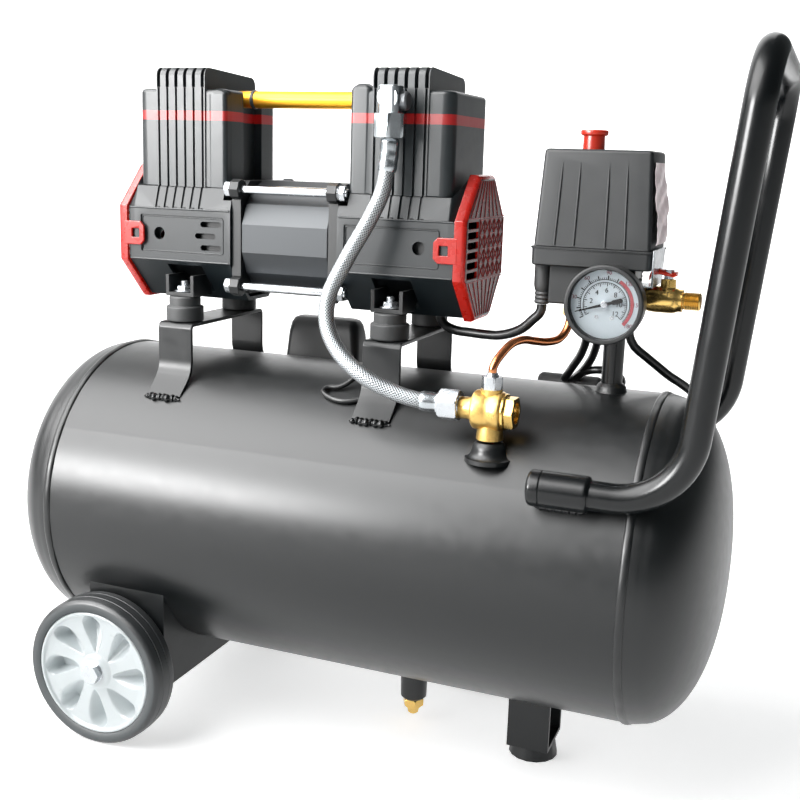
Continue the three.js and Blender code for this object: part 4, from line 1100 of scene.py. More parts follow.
# ---------- pump ----------
@dataclass
class PumpUnit:
    """One end of the pump: shroud, cover, guard, mounts, and the parts inside."""

    side: Side
    head_x: float = 93.5
    width: float = 82.0
    depth: float = 84.0
    round: float = 9.0
    bottom: float = 38.3
    top: float = 114.0
    wall: float = 3.0
    notch: float = 7.0
    ridge_half: float = 20.0
    ridge_top: float = 130.5
    grooves: int = 6
    pitch: float = 8.0
    groove: float = 1.9
    stripe: tuple[float, float] = (90.0, 97.4)
    cover_x: tuple[float, float, float] = (46.3, 134.8, 140.5)
    cover_yz: tuple[float, float, float, float] = (47.7, 52.7, 17.0, 21.0)
    guard_x: tuple[float, float] = (140.8, 150.0)
    guard_yz: tuple[float, float, float, float] = (50.0, 55.0, 18.5, 22.0)
    mount: tuple[float, float, float] = (90.5, 44.0, -69.5)

    @property
    def sign(self) -> int:
        """Minus one at the left end."""
        return self.side.value

    @property
    def name(self) -> str:
        """The end's name."""
        return self.side.name.lower()

    def groove_places(self) -> np.ndarray:
        """Where the grooves run, from the shroud's middle."""
        return (np.arange(self.grooves) - (self.grooves - 1) / 2) * self.pitch

    def shroud(self) -> Surface:
        """The shroud's body, a rounded box drawn in slightly to the top, with a rolled top edge.

        Each ring is the rounded outline less an inset; the inset grows round a quarter circle at the top.
        """
        heights = [self.bottom, self.bottom + 0.6]
        insets = [0.5, 0.0]
        roll = 3.0
        for t in np.linspace(0, math.pi / 2, 7):
            heights.append(self.top - roll + roll * math.sin(t))
            insets.append(0.3 + roll * (1 - math.cos(t)))
        rings = [np.column_stack([rounded(self.width - 2 * i, self.depth - 2 * i, self.round - min(i, 3)),
                                  np.full(28, h)]) for h, i in zip(heights, insets)]
        return grid(np.stack(rings))

    def ridge(self) -> Surface:
        """The finned ridge on top: its side view is a bar with rounded ends, a little lower at the back."""
        front, back = -self.depth / 2 - 1, self.depth / 2 - 4
        low = self.top - 4
        top = self.ridge_top
        outline = [(front, low), (back, low), *arc(back - 7, top - 9.5, 7, 0, 90),
                   *arc(front + 7, top - 7, 7, 90, 180)]
        proud = block(-self.ridge_half - 2.2, self.ridge_half + 2.2, front, front + 4, self.bottom, low + 0.5)
        return prism(outline, -self.ridge_half - 2.2, self.ridge_half + 2.2, Axis.X) + proud

    def shroud_cuts(self) -> Surface:
        """Grooves down the front and over the fins, two notches across the ridge, the recess by the tube."""
        front = -self.depth / 2
        cuts = []
        for x in self.groove_places():
            low = block(x - self.groove / 2, x + self.groove / 2, front - 3, front + 1.6, self.bottom - 2,
                        self.top + 1)
            high = block(x - self.groove / 2 - 0.5, x + self.groove / 2 + 0.5, front - 3, front + 17,
                         self.top + 1.2,
                         self.ridge_top + 2)
            cuts += [low, high]
        for y in (-8.0, 14.0):
            cuts.append(block(-self.ridge_half - 2, self.ridge_half + 2, y - 0.8, y + 0.8,
                              self.ridge_top - 3.2,
                              self.ridge_top + 3))
        inner = -self.sign * self.width / 2
        cuts.append(block(*sorted((inner + self.sign * self.notch, inner - self.sign * 4)), -15, 15,
                          self.bottom - 2,
                          self.top + 1.4))
        return together(cuts)

    def column(self) -> Surface:
        """The plain corner column next to the motor, whose cap is chamfered."""
        x = -self.sign * (self.width / 2 - 8.6)
        y = -self.depth / 2 + 7.4
        cap = self.top + (0.4 if self.side is Side.LEFT else 4.6)
        levels = [(self.bottom + 0.3, 0.0), (cap - 5, 0.0), (cap - 2.6, 0.9), (cap, 3.8)]
        rings = [np.column_stack([rounded(16.4 - 2 * i, 15.4 - 2 * i, 3.4) + [x, y], np.full(28, h)]) for h,
                 i in levels]
        return grid(np.stack(rings))

    def cover_outline(self, inset: float, flat_top: bool) -> list[Vec]:
        """The cover's section: an octagon, or under the head one whose top is flat at the shroud's foot."""
        half_y, half_z, flat_y, flat_z = self.cover_yz
        y, z, fy, fz = half_y - inset, half_z - inset, flat_y - inset * 0.4, flat_z - inset * 0.4
        low = [(-y, -fz), (-fy, -z), (fy, -z), (y, -fz), (y, fz)]
        if flat_top:
            top = self.bottom - 0.3 - inset
            reach = self.depth / 2 + 0.3 - inset
            return [*low, (reach, top), (-reach, top), (-y, fz)]
        return [*low, (fy, z), (-fy, z), (-y, fz)]

    def cover(self) -> Surface:
        """The cover's body along X: flat-topped under the head, then a curved rise to the full octagon.

        The rise follows a quarter cosine from the flat top's corner points to the octagon's.
        """
        start, rise, end = self.cover_x
        flat = np.array(self.cover_outline(0, True))
        full = np.array(self.cover_outline(0, False))
        stations = [(start, 0.0), (rise - 0.01, 0.0)]
        stations += [(rise + (end - rise) * s, 1 - math.cos(s * math.pi / 2)) for s in np.linspace(0.08, 1,
                7)]
        rings = [np.column_stack([np.full(8, self.sign * x), flat + (full - flat) * share]) for x,
                 share in stations]
        return grid(np.stack(rings))

    def cover_cuts(self) -> Surface:
        """Hollow, head opening, panel, sight hole, slots, grooves, foot windows and tie-rod notches."""
        s = self.sign
        half_y, half_z, _, flat_z = self.cover_yz
        start, _, end = self.cover_x
        inside = [(y, min(z, 60)) for y, z in self.cover_outline(3, False)]
        cuts = [prism(inside, *sorted((s * (start - 2), s * (end + 2))), Axis.X)]
        cuts.append(block(s * self.head_x - 33, s * self.head_x + 33, -33, 33, 20, 60))
        for a in (-1, 1):
            y0, y1 = sorted((a * (half_y - 1.2), a * (half_y + 3)))
            x0, x1 = sorted((s * (self.head_x - 41.5), s * (self.head_x + 36)))
            cuts.append(prism(rounded(x1 - x0, 30, 1.5, 3) + [(x0 + x1) / 2, 0.3], y0, y1, Axis.Y))
            through = sorted((a * (half_y - 5), a * (half_y - 0.6)))
            cuts.append(rod(5, *through, Axis.Y).moved(s * (self.head_x + 19), 0, 0.5))
            cuts.append(block(*sorted((s * self.mount[0] - 16, s * self.mount[0] + 16)),
                              *sorted((a * 23, a * 62)),
                              -half_z - 8, -24))
            cuts.append(block(*sorted((s * (start - 2), s * (start + 7.5))), *sorted((a * 34, a * 62)), 29,
                              50))
        if self.side is Side.LEFT:
            for dx, z in ((0, 9.3), (5, 0), (0, -9.3)):
                slot = rounded(19, 4.4, 2.15, 4) + [s * (self.head_x - 29) - dx, z]
                cuts.append(prism(slot, -half_y - 0.6, -half_y + 5, Axis.Y))
        shoulder = math.atan2(self.bottom - flat_z, half_y - self.depth / 2)
        for x in self.groove_places():
            bar = rounded(self.groove, 19, 0.7, 2)
            lean = np.array([[1, 0, 0], [0, math.sin(shoulder), math.cos(shoulder)],
                             [0, -math.cos(shoulder), math.sin(shoulder)]])
            hook = prism(rounded(5.0, 1.7, 0.8, 2) + [1.6, -8.6], -1.3, 3.2)
            groove = (prism(bar, -1.3, 3) + hook).turned(lean @ np.array([[1, 0, 0], [0, 0, -1], [0, 1, 0]],
                    float))
            cuts.append(groove.moved(s * self.head_x + x - 1.2, -(half_y + self.depth / 2) / 2, 29.5))
        return together(cuts)

    def panel_line(self) -> Surface:
        """A fine raised line just inside the edge of each sunk panel."""
        x0, x1 = sorted((self.sign * (self.head_x - 40.3), self.sign * (self.head_x + 34.8)))
        outline = rounded(x1 - x0, 27.6, 1.4, 3) + [(x0 + x1) / 2, 0.3]
        ring = np.vstack([outline, outline[:2]])
        made = []
        for a in (-1, 1):
            y = np.full(len(ring), a * (self.cover_yz[0] - 1.1))
            made.append(tube(np.column_stack([ring[:, 0], y, ring[:, 1]]), 0.5, 8))
            ends = [self.sign * (self.cover_x[0] + 1), self.sign * (self.cover_x[2] - 1)]
            for level in (-1, 1):
                up = level * (self.cover_yz[3] - 0.4)
                made.append(tube(np.array([(x, a * (self.cover_yz[0] - 0.1), up) for x in ends]), 0.8, 10))
        return together(made)

    def guard(self) -> Surface:
        """The guard's outside: an octagonal tray whose rim is rolled over onto the face."""
        half_y, half_z, flat_y, flat_z = self.guard_yz
        x0, x1 = self.guard_x
        stations = [(x0, 0.4), (x0 + 0.6, 0.0), (x1 - 3.4, 0.0), (x1 - 1.6, 0.9), (x1 - 0.5, 2.4), (x1, 4.4)]
        rings = []
        for x, inset in stations:
            y, z, fy, fz = half_y - inset, half_z - inset, flat_y - inset * 0.4, flat_z - inset * 0.4
            ring = [(-y, -fz), (-fy, -z), (fy, -z), (y, -fz), (y, fz), (fy, z), (-fy, z), (-y, fz)]
            rings.append(np.column_stack([np.full(8, self.sign * x), ring]))
        return grid(np.stack(rings))

    def guard_cuts(self) -> Surface:
        """The hollow behind the face and the louvres in front."""
        half_y, half_z, flat_y, flat_z = (v - 3 for v in self.guard_yz)
        x0, x1 = self.guard_x
        ring = [(-half_y, -flat_z), (-flat_y, -half_z), (flat_y, -half_z), (half_y, -flat_z),
                (half_y, flat_z),
                (flat_y, half_z), (-flat_y, half_z), (-half_y, flat_z)]
        cuts = [prism(ring, *sorted((self.sign * (x0 - 2), self.sign * (x1 - 2.2))), Axis.X)]
        deep = sorted((self.sign * (x1 - 4), self.sign * (x1 + 3)))
        for i in range(6):
            z = (i - 2.5) * 7.4
            cuts.append(prism(rounded(25, 4.9, 1.2, 3) + [-31.5, z], *deep, Axis.X))
        return together(cuts)

    def guard_ribs(self) -> Surface:
        """Thin ribs on the face: fans above and below, bars across, and stars behind the louvres."""
        x = self.sign * (self.guard_x[1] + 0.1)
        lines: list[tuple[Vec, Vec]] = []
        for i in range(8):
            near, far = (i - 3.5) * 11.4, (i - 3.5) * 4.8
            lines += [((near, up * 23.5), (far, up * 50.5)) for up in (-1, 1)]
        lines += [((-45, up * 23.5), (45, up * 23.5)) for up in (-1, 1)]
        columns = np.linspace(-16, 44, 6)
        rows = np.linspace(-22, 22, 5)
        for i, y in enumerate(columns):
            for k, z in enumerate(rows):
                if i + 1 < len(columns) and (k % 2 == 0 or i % 2 == 0):
                    lines.append(((y, z), (columns[i + 1], z)))
                if k + 1 < len(rows):
                    lines.append(((y, z), (y, rows[k + 1])))
                    if i + 1 < len(columns):
                        first = ((y, z), (columns[i + 1], rows[k + 1]))
                        other = ((columns[i + 1], z), (y, rows[k + 1]))
                        lines += [first, other]
        bars = [tube(np.array([(x, *a), (x, *b)], float), 0.45, 6) for a, b in lines]
        return together(bars)

    def latch(self, a: int) -> Surface:
        """A latch tab: a plate that narrows away from the guard, with a square hole, bridged to the rim."""
        x0, x1 = self.guard_x[0] - 15.6, self.guard_x[0] + 3
        outline = [(x0, -6), (x0, 6), (x0 + 3.4, 9.5), (x1, 9.5), (x1, -9.5), (x0 + 3.4, -9.5)]
        shape = [(self.sign * x, z) for x, z in outline]
        low, high = sorted((a * (self.cover_yz[0] + 0.35), a * (self.guard_yz[0] + 0.3)))
        return prism(shape, low, high, Axis.Y)

    def mount_surface(self) -> Surface:
        """A two-tier rubber mount with a washer between the tiers."""
        return lathe([(0, 0.3), (14.2, 0.3), *arc(13.8, 1.5, 1.2, -60, 0, 4), (15, 10.6),
                      *arc(13.9, 11.2, 1.1, 0, 90, 4),
                      (13.2, 12.4), (12.6, 12.9), (12.6, 18.6), *arc(11.6, 19.3, 1, 0, 90, 4), (0, 20.3)])

    def stud(self) -> Surface:
        """The mount's washer, nut and stud end."""
        z = 23.9
        return rod(8.2, z, z + 1.2, edge=0.3) + hexagon(11, z + 1.2, z + 4.6) + rod(3.2, z + 4, z + 8.6,
                edge=0.9)

    def build(self, at: Places) -> None:
        """Make this end of the pump."""
        px, pz = at.pump
        s, where = self.sign, self.name
        stripe = tuple(pz + v for v in self.stripe)
        grey = Striped("shroud_plastic", "black_plastic", (0.013, 0.0185, 0.021), 0.36, relief=0.03,
                       grain=0.5,
                       scuff=0.05, low=stripe[0], high=stripe[1])
        hx = px + s * self.head_x
        (self.shroud()).moved(hx, 0, pz).fixed(
            f"shroud_{where}", grey, replaces=[f"head_shroud_{where}"],
            weld=(self.ridge() + self.column()).moved(hx, 0, pz),
            carve=self.shroud_cuts().moved(hx, 0, pz), bevel=0.55, bevel_steps=2)
        self.cover().moved(px, 0, pz).fixed(
            f"cover_{where}", Paint.shell, replaces=[f"crankcase_cover_{where}"],
            carve=self.cover_cuts().moved(px, 0, pz), bevel=0.7, bevel_steps=2)
        # the guard's outer face gets a painted shade of darker red
        red = GuardRedPaintedShade("guard_plastic", "red_plastic", (0.60, 0.014, 0.006), 0.28, relief=0.02, grain=0.7,
                       fade=0.05,
                       middle=px, reach=self.guard_x[1] - 0.35)
        self.guard().moved(px, 0, pz).fixed(
            f"guard_{where}", red, replaces=[f"fan_guard_{where}"],
            carve=self.guard_cuts().moved(px, 0, pz), bevel=0.45, bevel_steps=2)
        self.guard_ribs().moved(px, 0, pz).fixed(f"guard_ribs_{where}", Paint.rib)
        self.panel_line().moved(px, 0, pz).fixed(f"cover_line_{where}", Paint.shell)
        if self.side is Side.LEFT:
            rod(4.6, -41, -38, Axis.Y).moved(px + s * (self.head_x + 19) + 2.2, 0, pz - 1.6).fixed(
                "cover_plug", Paint.red)
        for name, a in (("front", -1), ("rear", 1)):
            hole = block(*sorted((s * 129.6, s * 136.6)), *sorted((a * 40, a * 56)), -3.6, 3.6)
            self.latch(a).moved(px, 0, pz).fixed(
                f"latch_{where}_{name}", red, carve=hole.moved(px, 0, pz), bevel=0.6, slot="red_plastic")
            mx, my, mz = px + s * self.mount[0], a * self.mount[1], pz + self.mount[2]
            self.mount_surface().moved(mx, my, mz).fixed(
                f"mount_{where}_{name}", Paint.rubber, replaces=[f"rubber_mount_{where}_{name}"])
            self.stud().moved(mx, my, mz).fixed(f"mount_nut_{where}_{name}", Paint.zinc)
        for node, finish, edge in (("crankcase", Paint.dark, 0.8), ("cylinder_head", Paint.alloy, 0.8),
                                   ("cylinder", Paint.alloy, 0.4), ("bearing", Paint.zinc, 0.3)):
            refined(f"{node}_{where}", f"{node}_{where}_cast", "frame", finish, edge)
        refined(f"piston_rod_{where}", f"rod_{where}_cast", f"rod_{where}", Paint.alloy, 0.5)
        refined(f"fan_{where}", f"fan_{where}_wheel", "motor_shaft", Paint.dark, 0.3)


@dataclass
class Motor:
    """The stator, the tie rods with their nuts, the shaft, and the tube between the heads."""

    half: float = 37.5
    outline: tuple[Vec, ...] = ((45, 11), (38, 27), (27, 38), (11, 45))
    bore: float = 27.0
    flange: float = 46.0
    ear: tuple[float, float] = (43.0, 38.0)
    rod: float = 3.5
    tube_radius: float = 6.75
    tube_z: float = 108.5
    tube_half: float = 66.2

    def build(self, at: Places) -> None:
        """Make the motor between the pump's two ends."""
        px, pz = at.pump
        one = list(self.outline)
        two = [(-y, z) for y, z in reversed(one)]
        ring = one + two + [(-y, -z) for y, z in one] + [(y, -z) for y, z in reversed(one)]
        prism(ring, -self.half, self.half, Axis.X).moved(px, 0, pz).fixed(
            "stator_stack", Paint.stator, replaces=["stator"], bevel=0.6, bevel_steps=1, bevel_angle=25,
            smooth=12, carve=rod(self.bore, -self.half - 2, self.half + 2, Axis.X).moved(px, 0, pz))
        refined("rotor_shaft", "rotor_and_shaft", "motor_shaft", Paint.zinc, 0.3)
        for level, b in (("upper", 1), ("lower", -1)):
            for end, a in (("front", -1), ("rear", 1)):
                y, z = a * self.ear[0], pz + b * self.ear[1]
                bar = rod(self.rod, -self.flange - 7.2, self.flange + 7.2, Axis.X, edge=0.7)
                bar.moved(px, y, z).fixed(f"bar_{level}_{end}", Paint.rods,
                        replaces=[f"tie_rod_{level}_{end}"])
                nuts = [rod(6.3, *sorted((s * self.flange, s * (self.flange + 1))), Axis.X, edge=0.25)
                        + hexagon(10.5, *sorted((s * (self.flange + 1), s * (self.flange + 5.6))), Axis.X)
                        for s in (-1, 1)]
                together(nuts).moved(px, y, z).fixed(f"nuts_{level}_{end}", Paint.zinc)
        r, h = self.tube_radius, self.tube_half
        profile = [(0, -h), (r, -h), (r, h), (0, h)]
        lathe(profile, Axis.X, 64).moved(px, 0, pz + self.tube_z).fixed(
            "gold_tube", Paint.gold, replaces=["transfer_tube"])
        collars = [lathe([(r + 0.1, x), (r + 0.7, x + 0.4), (r + 0.7, x + 2.6), (r + 0.1, x + 3.2)], Axis.X,
                         48, True)
                   for x in (-52, 48.8)]
        together(collars).moved(px, 0, pz + self.tube_z).fixed("tube_seals", Paint.rubber)


# ---------- delivery line ----------
@dataclass
class Delivery:
    """Elbow, braided hose, check valve, copper tube and drain plug; places are from the tank's axis."""

    elbow: tuple[float, float, float] = (31.5, -58.0, 333.0)
    wall: float = -42.0
    nut_low: float = 305.0
    hose_radius: float = 5.7
    hose: tuple[Vec, ...] = (
        (31.5, -58, 304.4), (31.5, -58, 297), (30.5, -59, 284), (28.5, -62, 267), (21, -68, 246),
        (8, -77, 218),
        (-2, -86, 190), (0, -92, 170), (12, -97, 152), (33, -100, 137), (53, -98, 128), (72, -95, 123),
        (88, -91.6, 121.8), (104.4, -91, 121.5),
    )
    check: tuple[float, float, float] = (126.0, -88.0, 119.5)
    copper: tuple[Vec, ...] = (
        (126, -88, 146.8), (126, -88, 149.5), (127, -85.5, 153.5), (129.2, -80, 158.5), (133.8, -70, 165.2),
        (139, -60, 167), (144.7, -48, 165), (151, -38, 163.6), (157.5, -28, 165), (161, -21, 171),
        (162.4, -17.5, 180), (162.4, -17, 189.6),
    )
    drain: tuple[float, float] = (43.7, -157.0)

    def braided(self, path: np.ndarray) -> Surface:
        """The hose's braid: radius = r + proud x the higher of two spirals, |sin(turns x t +- k s)|."""
        s = lengths(path)[:, None]
        t = np.linspace(0, TURN, 72, endpoint=False)[None, :]
        one = np.abs(np.sin(8 * t + s * math.pi / 2.5))
        two = np.abs(np.sin(8 * t - s * math.pi / 2.5))
        return tube(path, self.hose_radius - 0.3 + 0.5 * np.maximum(one, two) ** 2, 72)

    def ferrule(self, path: np.ndarray) -> Surface:
        """A crimped sleeve that follows the hose: two rings where the crimp bit, and lips at both ends."""
        s = lengths(path)
        share = s / s[-1]
        swell = 7.2 - 0.35 * (np.exp(-(((share - 0.38) / 0.09) ** 2)) + np.exp(-(((share - 0.66) / 0.09) ** 2)))
        swell -= 0.9 * np.exp(-share / 0.03) + 0.9 * np.exp(-(1 - share) / 0.03)
        return tube(path, swell, 48)

    def build(self, at: Places) -> None:
        """Make the whole delivery line."""
        x, z = at.tank
        ex, ey, ez = self.elbow
        body = (lathe([(0, ey - 7.4), (7.6, ey - 7.4), (8.2, ey - 6.8), (8.2, self.wall - 6),
                       (0, self.wall - 6)], Axis.Y,
                      48).moved(ex, 0, ez)
                + prism(rounded(16, 16, 4.5, 6), self.nut_low + 16, ez + 8.6).moved(ex, ey))
        body.moved(x, 0, z).fixed("elbow_body", Paint.chrome, replaces=["delivery_elbow"], bevel=0.9,
                                  bevel_angle=50)
        nuts = (hexagon(21.7, self.nut_low, self.nut_low + 17, Axis.Z, 12).moved(ex, ey)
                + hexagon(15, self.wall - 6.2, self.wall - 0.4, Axis.Y).moved(ex, 0, ez))
        nuts.moved(x, 0, z).fixed("elbow_nuts", Paint.chrome)
        plug = lathe([(0, 0), (6.0, 0), (6.6, 1.5), (6.6, 5), (5.6, 6.2), (0, 6.2)], Axis.X, 40).moved(ex + 7,
                ey + 2, ez - 2)
        plug.moved(x, 0, z).fixed("elbow_plug", Paint.alloy)
        path = spline(self.hose, 0.45) + np.array([x, 0, z])
        s = lengths(path)
        whole = self.braided(path[(s > 4) & (s < s[-1] - 8)])
        whole.fixed("braided_hose", Paint.braid, replaces=["delivery_hose"], smooth=60)
        ends = together([self.ferrule(path[s < 25][::4]), self.ferrule(path[s > s[-1] - 30][::4])])
        ends.fixed("hose_ferrules", Paint.chrome)
        cx, cy, cz = self.check
        barrel = [(0, -12.6), (9.5, -12.6), *arc(11.2, -9.6, 2.9, -80, 0, 5), (14.1, -3), (13.6, -2.2),
                  (13.6, 2.4),
                  (14.1, 3.2), *arc(11.4, 7.4, 2.7, 0, 80, 5), (0, 10.1)]
        neck = [(0, 0), (8.6, 0), (8.6, -10), (9.2, -13.5), (9.6, -20.5), (0, -20.5)]
        side = [(0, -22.5), (7.2, -22.5), (7.9, -21.5), (7.9, -16), (8.8, -13.6), (9.2, -11), (0, -11)]
        cast = (lathe(barrel, Axis.X, 72) + lathe(neck[::-1], Axis.Z, 48) + lathe(side, Axis.X, 48)
                + lathe([(0, 6), (7.7, 6), (7.7, 15.5), (0, 15.5)], Axis.Z, 48))
        cast.moved(cx, cy, cz).moved(x, 0, z).fixed("check_valve_body", Paint.brass, replaces=["check_valve"])
        ring = lathe([(0, 9.4), (12.4, 9.4), (13, 10), (13, 11.6), (12.4, 12.2), (0, 12.2)], Axis.X, 64)
        six = hexagon(21, 12, 18.6, Axis.X)
        hollow = rod(7.6, 15.6, 24, Axis.X)
        caps = ring + six
        caps.moved(cx, cy, cz).moved(x, 0, z).fixed(
            "check_valve_cap", Paint.turned, carve=hollow.moved(cx, cy, cz).moved(x, 0, z), bevel=0.4)
        nut = hexagon(13.4, 15, 24.5) + lathe([(0, 24), (5, 24), (3.5, 27.2), (0, 27.2)], Axis.Z, 32)
        nut.moved(cx, cy, cz).moved(x, 0, z).fixed("flare_nut", Paint.zinc)
        (hexagon(20.5, cx - 36.5, cx - 22.4, Axis.X, 10) + rod(9.2, cx - 38, cx - 36, Axis.X)).moved(
            0, cy - 2.2, cz + 1.6).moved(x, 0, z).fixed("hose_nut", Paint.zinc)
        wire = spline(self.copper, 1.2) + np.array([x, 0, z])
        tube(wire, 3.0, 24).fixed("copper_line", Paint.copper, replaces=["unloader_tube"])
        lower = hexagon(10, self.copper[-1][2] - 8, self.copper[-1][2] - 0.4).moved(*self.copper[-1][:2])
        lower.moved(x, 0, z).fixed("flare_nut_lower", Paint.turned)
        dx, dz = self.drain
        plug = (hexagon(16, -6.8, -0.4) + rod(5.9, -1, 11) + rod(7.2, -8.4, -6.6, edge=0.5)
                + lathe([(0, -14.6), (3.2, -14.6), (4.6, -13.4), (5.3, -9), (5.3, -8), (0, -8)], Axis.Z, 40))
        plug.moved(dx, 0, dz).moved(x, 0, z).piece("drain_valve", "drain_plug", Paint.turned,
                replaces=["drain_plug"])


# ---------- pressure switch, gauge and outlet ----------
@dataclass
class Control:
    """Standpipe, pressure switch, gauge and outlet valve; places are from the tank's axis."""

    pipe_x: float = 193.0
    pipe_radius: float = 7.85
    block: tuple[float, float, float] = (13.0, 183.0, 209.0)
    boss_top: float = 131.0
    case: tuple[float, float, float, float] = (136.0, 219.0, -30.0, 34.0)
    levels: tuple[float, float, float] = (218.0, 232.0, 301.0)
    draft: float = 3.7
    knob: tuple[float, float, float] = (168.0, 8.0, 14.0)
    gauge_z: float = 195.0
    gauge_y: tuple[float, float] = (-54.0, -33.0)
    gauge_radius: float = 28.0
    dial_radius: float = 24.4
    scale: tuple[float, float] = (212.0, 252.0)
    outlet: tuple[float, float] = (217.5, 196.0)

    def case_rings(self, spans: Sequence[tuple[float, float, float]]) -> Surface:
        """A tapered rounded box: each level is (height, inset, corner radius) of the case's outline."""
        x0, x1, y0, y1 = self.case
        middle = np.array([(x0 + x1) / 2 - 0.6, (y0 + y1) / 2])
        rings = [np.column_stack([rounded(x1 - x0 - 2 * i + 1.2, y1 - y0 - 2 * i, r) + middle,
                                  np.full(28, h)])
                 for h, i, r in spans]
        return grid(np.stack(rings))

    def cover(self) -> Surface:
        """The cover: drafted sides and a rolled top edge."""
        _, low, high = self.levels
        roll = 2.6
        spans = [(low + 0.2, 0.0, 2.6)]
        for t in np.linspace(0, math.pi / 2, 7):
            spans.append((high - roll + roll * math.sin(t), self.draft * 0.95 + roll * (1 - math.cos(t)),
                          2.9))
        return self.case_rings(spans)

    def ribs(self) -> Surface:
        """Four thin ribs up the front, which lean with the draft and fade out at the top."""
        x0, x1, y0, _ = self.case
        _, low, high = self.levels
        made = []
        for share in (0.17, 0.34, 0.61, 0.78):
            t = np.linspace(0, 1, 24)
            lean = (share - 0.5) * -2 * self.draft * t
            path = np.stack([x0 + (x1 - x0) * share + lean, y0 + self.draft * t * 0.78 + 0.25,
                             low + 1 + (high - low) * 0.86 * t], -1)
            made.append(tube(path, 1.0 * (1 - t**6) + 0.02, 10))
        return together(made)

    def tray(self) -> Surface:
        """The tray below the cover: a band with a raised lip."""
        floor, low, _ = self.levels
        return self.case_rings([(floor, -0.3, 3.5), (floor + 1, -1.1, 3.9), (low - 1.8, -1.3, 4.0),
                                (low - 1.7, -2.0, 4.0), (low - 0.7, -2.1, 4.0), (low - 0.3, -1.7, 4.0),
                                (low - 0.3, 2.0, 2.0)])

    def dial_marks(self, at: tuple[float, float]) -> tuple[Surface, Surface]:
        """Scale lines and the red arc, as thin inlays: bars that point outwards over the scale's sweep."""
        gx, gz = at
        front = self.gauge_y[0] + 7.0

        def stroke(angle: float, r0: float, r1: float, wide: float) -> Surface:
            """One mark along a radius."""
            c, s = math.cos(math.radians(angle)), math.sin(math.radians(angle))
            bar = np.array([(r0, -wide / 2), (r1, -wide / 2), (r1, wide / 2), (r0, wide / 2)])
            turn = bar @ np.array([[c, s], [-s, c]])
            return prism(turn + [gx, gz], front - 0.28, front - 0.05, Axis.Y)

        first, sweep = self.scale
        black = [stroke(first - sweep * i / 60, 17.4, 20.2 if i % 5 == 0 else 18.8,
                        0.8 if i % 5 == 0 else 0.4)
                 for i in range(61)]
        black += [stroke(first - sweep * i / 48, 12.8 if i % 4 == 0 else 13.9, 15.2,
                         0.5 if i % 4 == 0 else 0.34)
                  for i in range(49)]
        for r in (15.4, 17.3):
            t = np.radians(np.linspace(first, first - sweep, 80))
            line = np.stack([gx + r * np.cos(t), np.full_like(t, front - 0.15), gz + r * np.sin(t)], -1)
            black.append(tube(line, 0.22, 6))
        a = np.radians(np.linspace(60, -45, 40))
        rim = np.concatenate([np.stack([20.2 * np.cos(a), 20.2 * np.sin(a)], -1),
                              np.stack([17.9 * np.cos(a[::-1]), 17.9 * np.sin(a[::-1])], -1)])
        return together(black), prism(rim + [gx, gz], front - 0.34, front - 0.06, Axis.Y)

    def numerals(self, at: tuple[float, float], step: int, r: float, size: float) -> Surface:
        """Numbers round one scale, a step apart, set as small solid letters."""
        gx, gz = at
        first, sweep = self.scale
        places = [(str(step * i), math.radians(first - sweep * i / 6)) for i in range(1, 7)]
        return together([self.letters(text, gx + r * math.cos(a), gz + r * math.sin(a), size) for text,
                         a in places])

    def letters(self, text: str, x: float, z: float, size: float) -> Surface:
        """One number, standing on the dial and centred on a place."""
        curve = bpy.data.curves.new("number", "FONT")
        curve.body, curve.size, curve.extrude = text, size, 0.12
        curve.align_x, curve.align_y = "CENTER", "CENTER"
        thing = bpy.data.objects.new("number", curve)
        bpy.context.scene.collection.objects.link(thing)
        graph = bpy.context.evaluated_depsgraph_get()
        mesh = thing.evaluated_get(graph).to_mesh()
        points = np.empty(len(mesh.vertices) * 3)
        mesh.vertices.foreach_get("co", points)
        faces = [list(p.vertices) for p in mesh.polygons]
        bpy.data.objects.remove(thing)
        p = points.reshape(-1, 3)
        front = self.gauge_y[0] + 6.8
        return Surface(np.stack([p[:, 0] + x, front - p[:, 2], p[:, 1] + z], -1), faces)

    def build(self, at: Places) -> None:
        """Make everything on the standpipe."""
        x, z = at.tank
        px, half = self.pipe_x, self.block[0]
        pipe = rod(self.pipe_radius, self.boss_top - 2, self.block[1] + 1).moved(px)
        pipe.moved(x, 0, z).fixed("pipe_column", Paint.tube, replaces=["standpipe"])
        (prism(rounded(2 * half, 2 * half, 3), self.block[1], self.block[2]).moved(px)).moved(x, 0, z).fixed(
            "pipe_block", Paint.bracket, bevel=1.2)
        floor, _, high = self.levels
        self.cover().moved(x, 0, z).fixed("switch_case", Paint.cover, replaces=["switch_cover"],
                                          weld=self.ribs().moved(x, 0, z))
        lower = block(146, 178, -24, 18, 190, floor + 1)
        neck = block(px - 15, px + 14, -14, 14, self.block[2] + 0.3, floor + 1)
        self.tray().moved(x, 0, z).fixed("switch_tray", Paint.cover, replaces=["switch_body"])
        lower.moved(x, 0, z).fixed("switch_foot", Paint.cover, bevel=1.6)
        neck.moved(x, 0, z).fixed("switch_neck", Paint.bracket, bevel=1.0)
        for name, gx, gy, top, r in (("cable", 139.5, -14, 188.0, 5.2), ("cord", 200, 22, 202.0, 6.0)):
            ribs = [(r + 0.7 * (i % 2), top + 0.4 + i * 1.5) for i in range(8)]
            gland = lathe([(0, top), *ribs, (r + 1.4, top + 14), (r + 1.4, floor), (0, floor)], Axis.Z, 40)
            gland.moved(gx, gy).moved(x, 0, z).fixed(f"gland_{name}", Paint.rubber)
        kx, kr, kt = self.knob
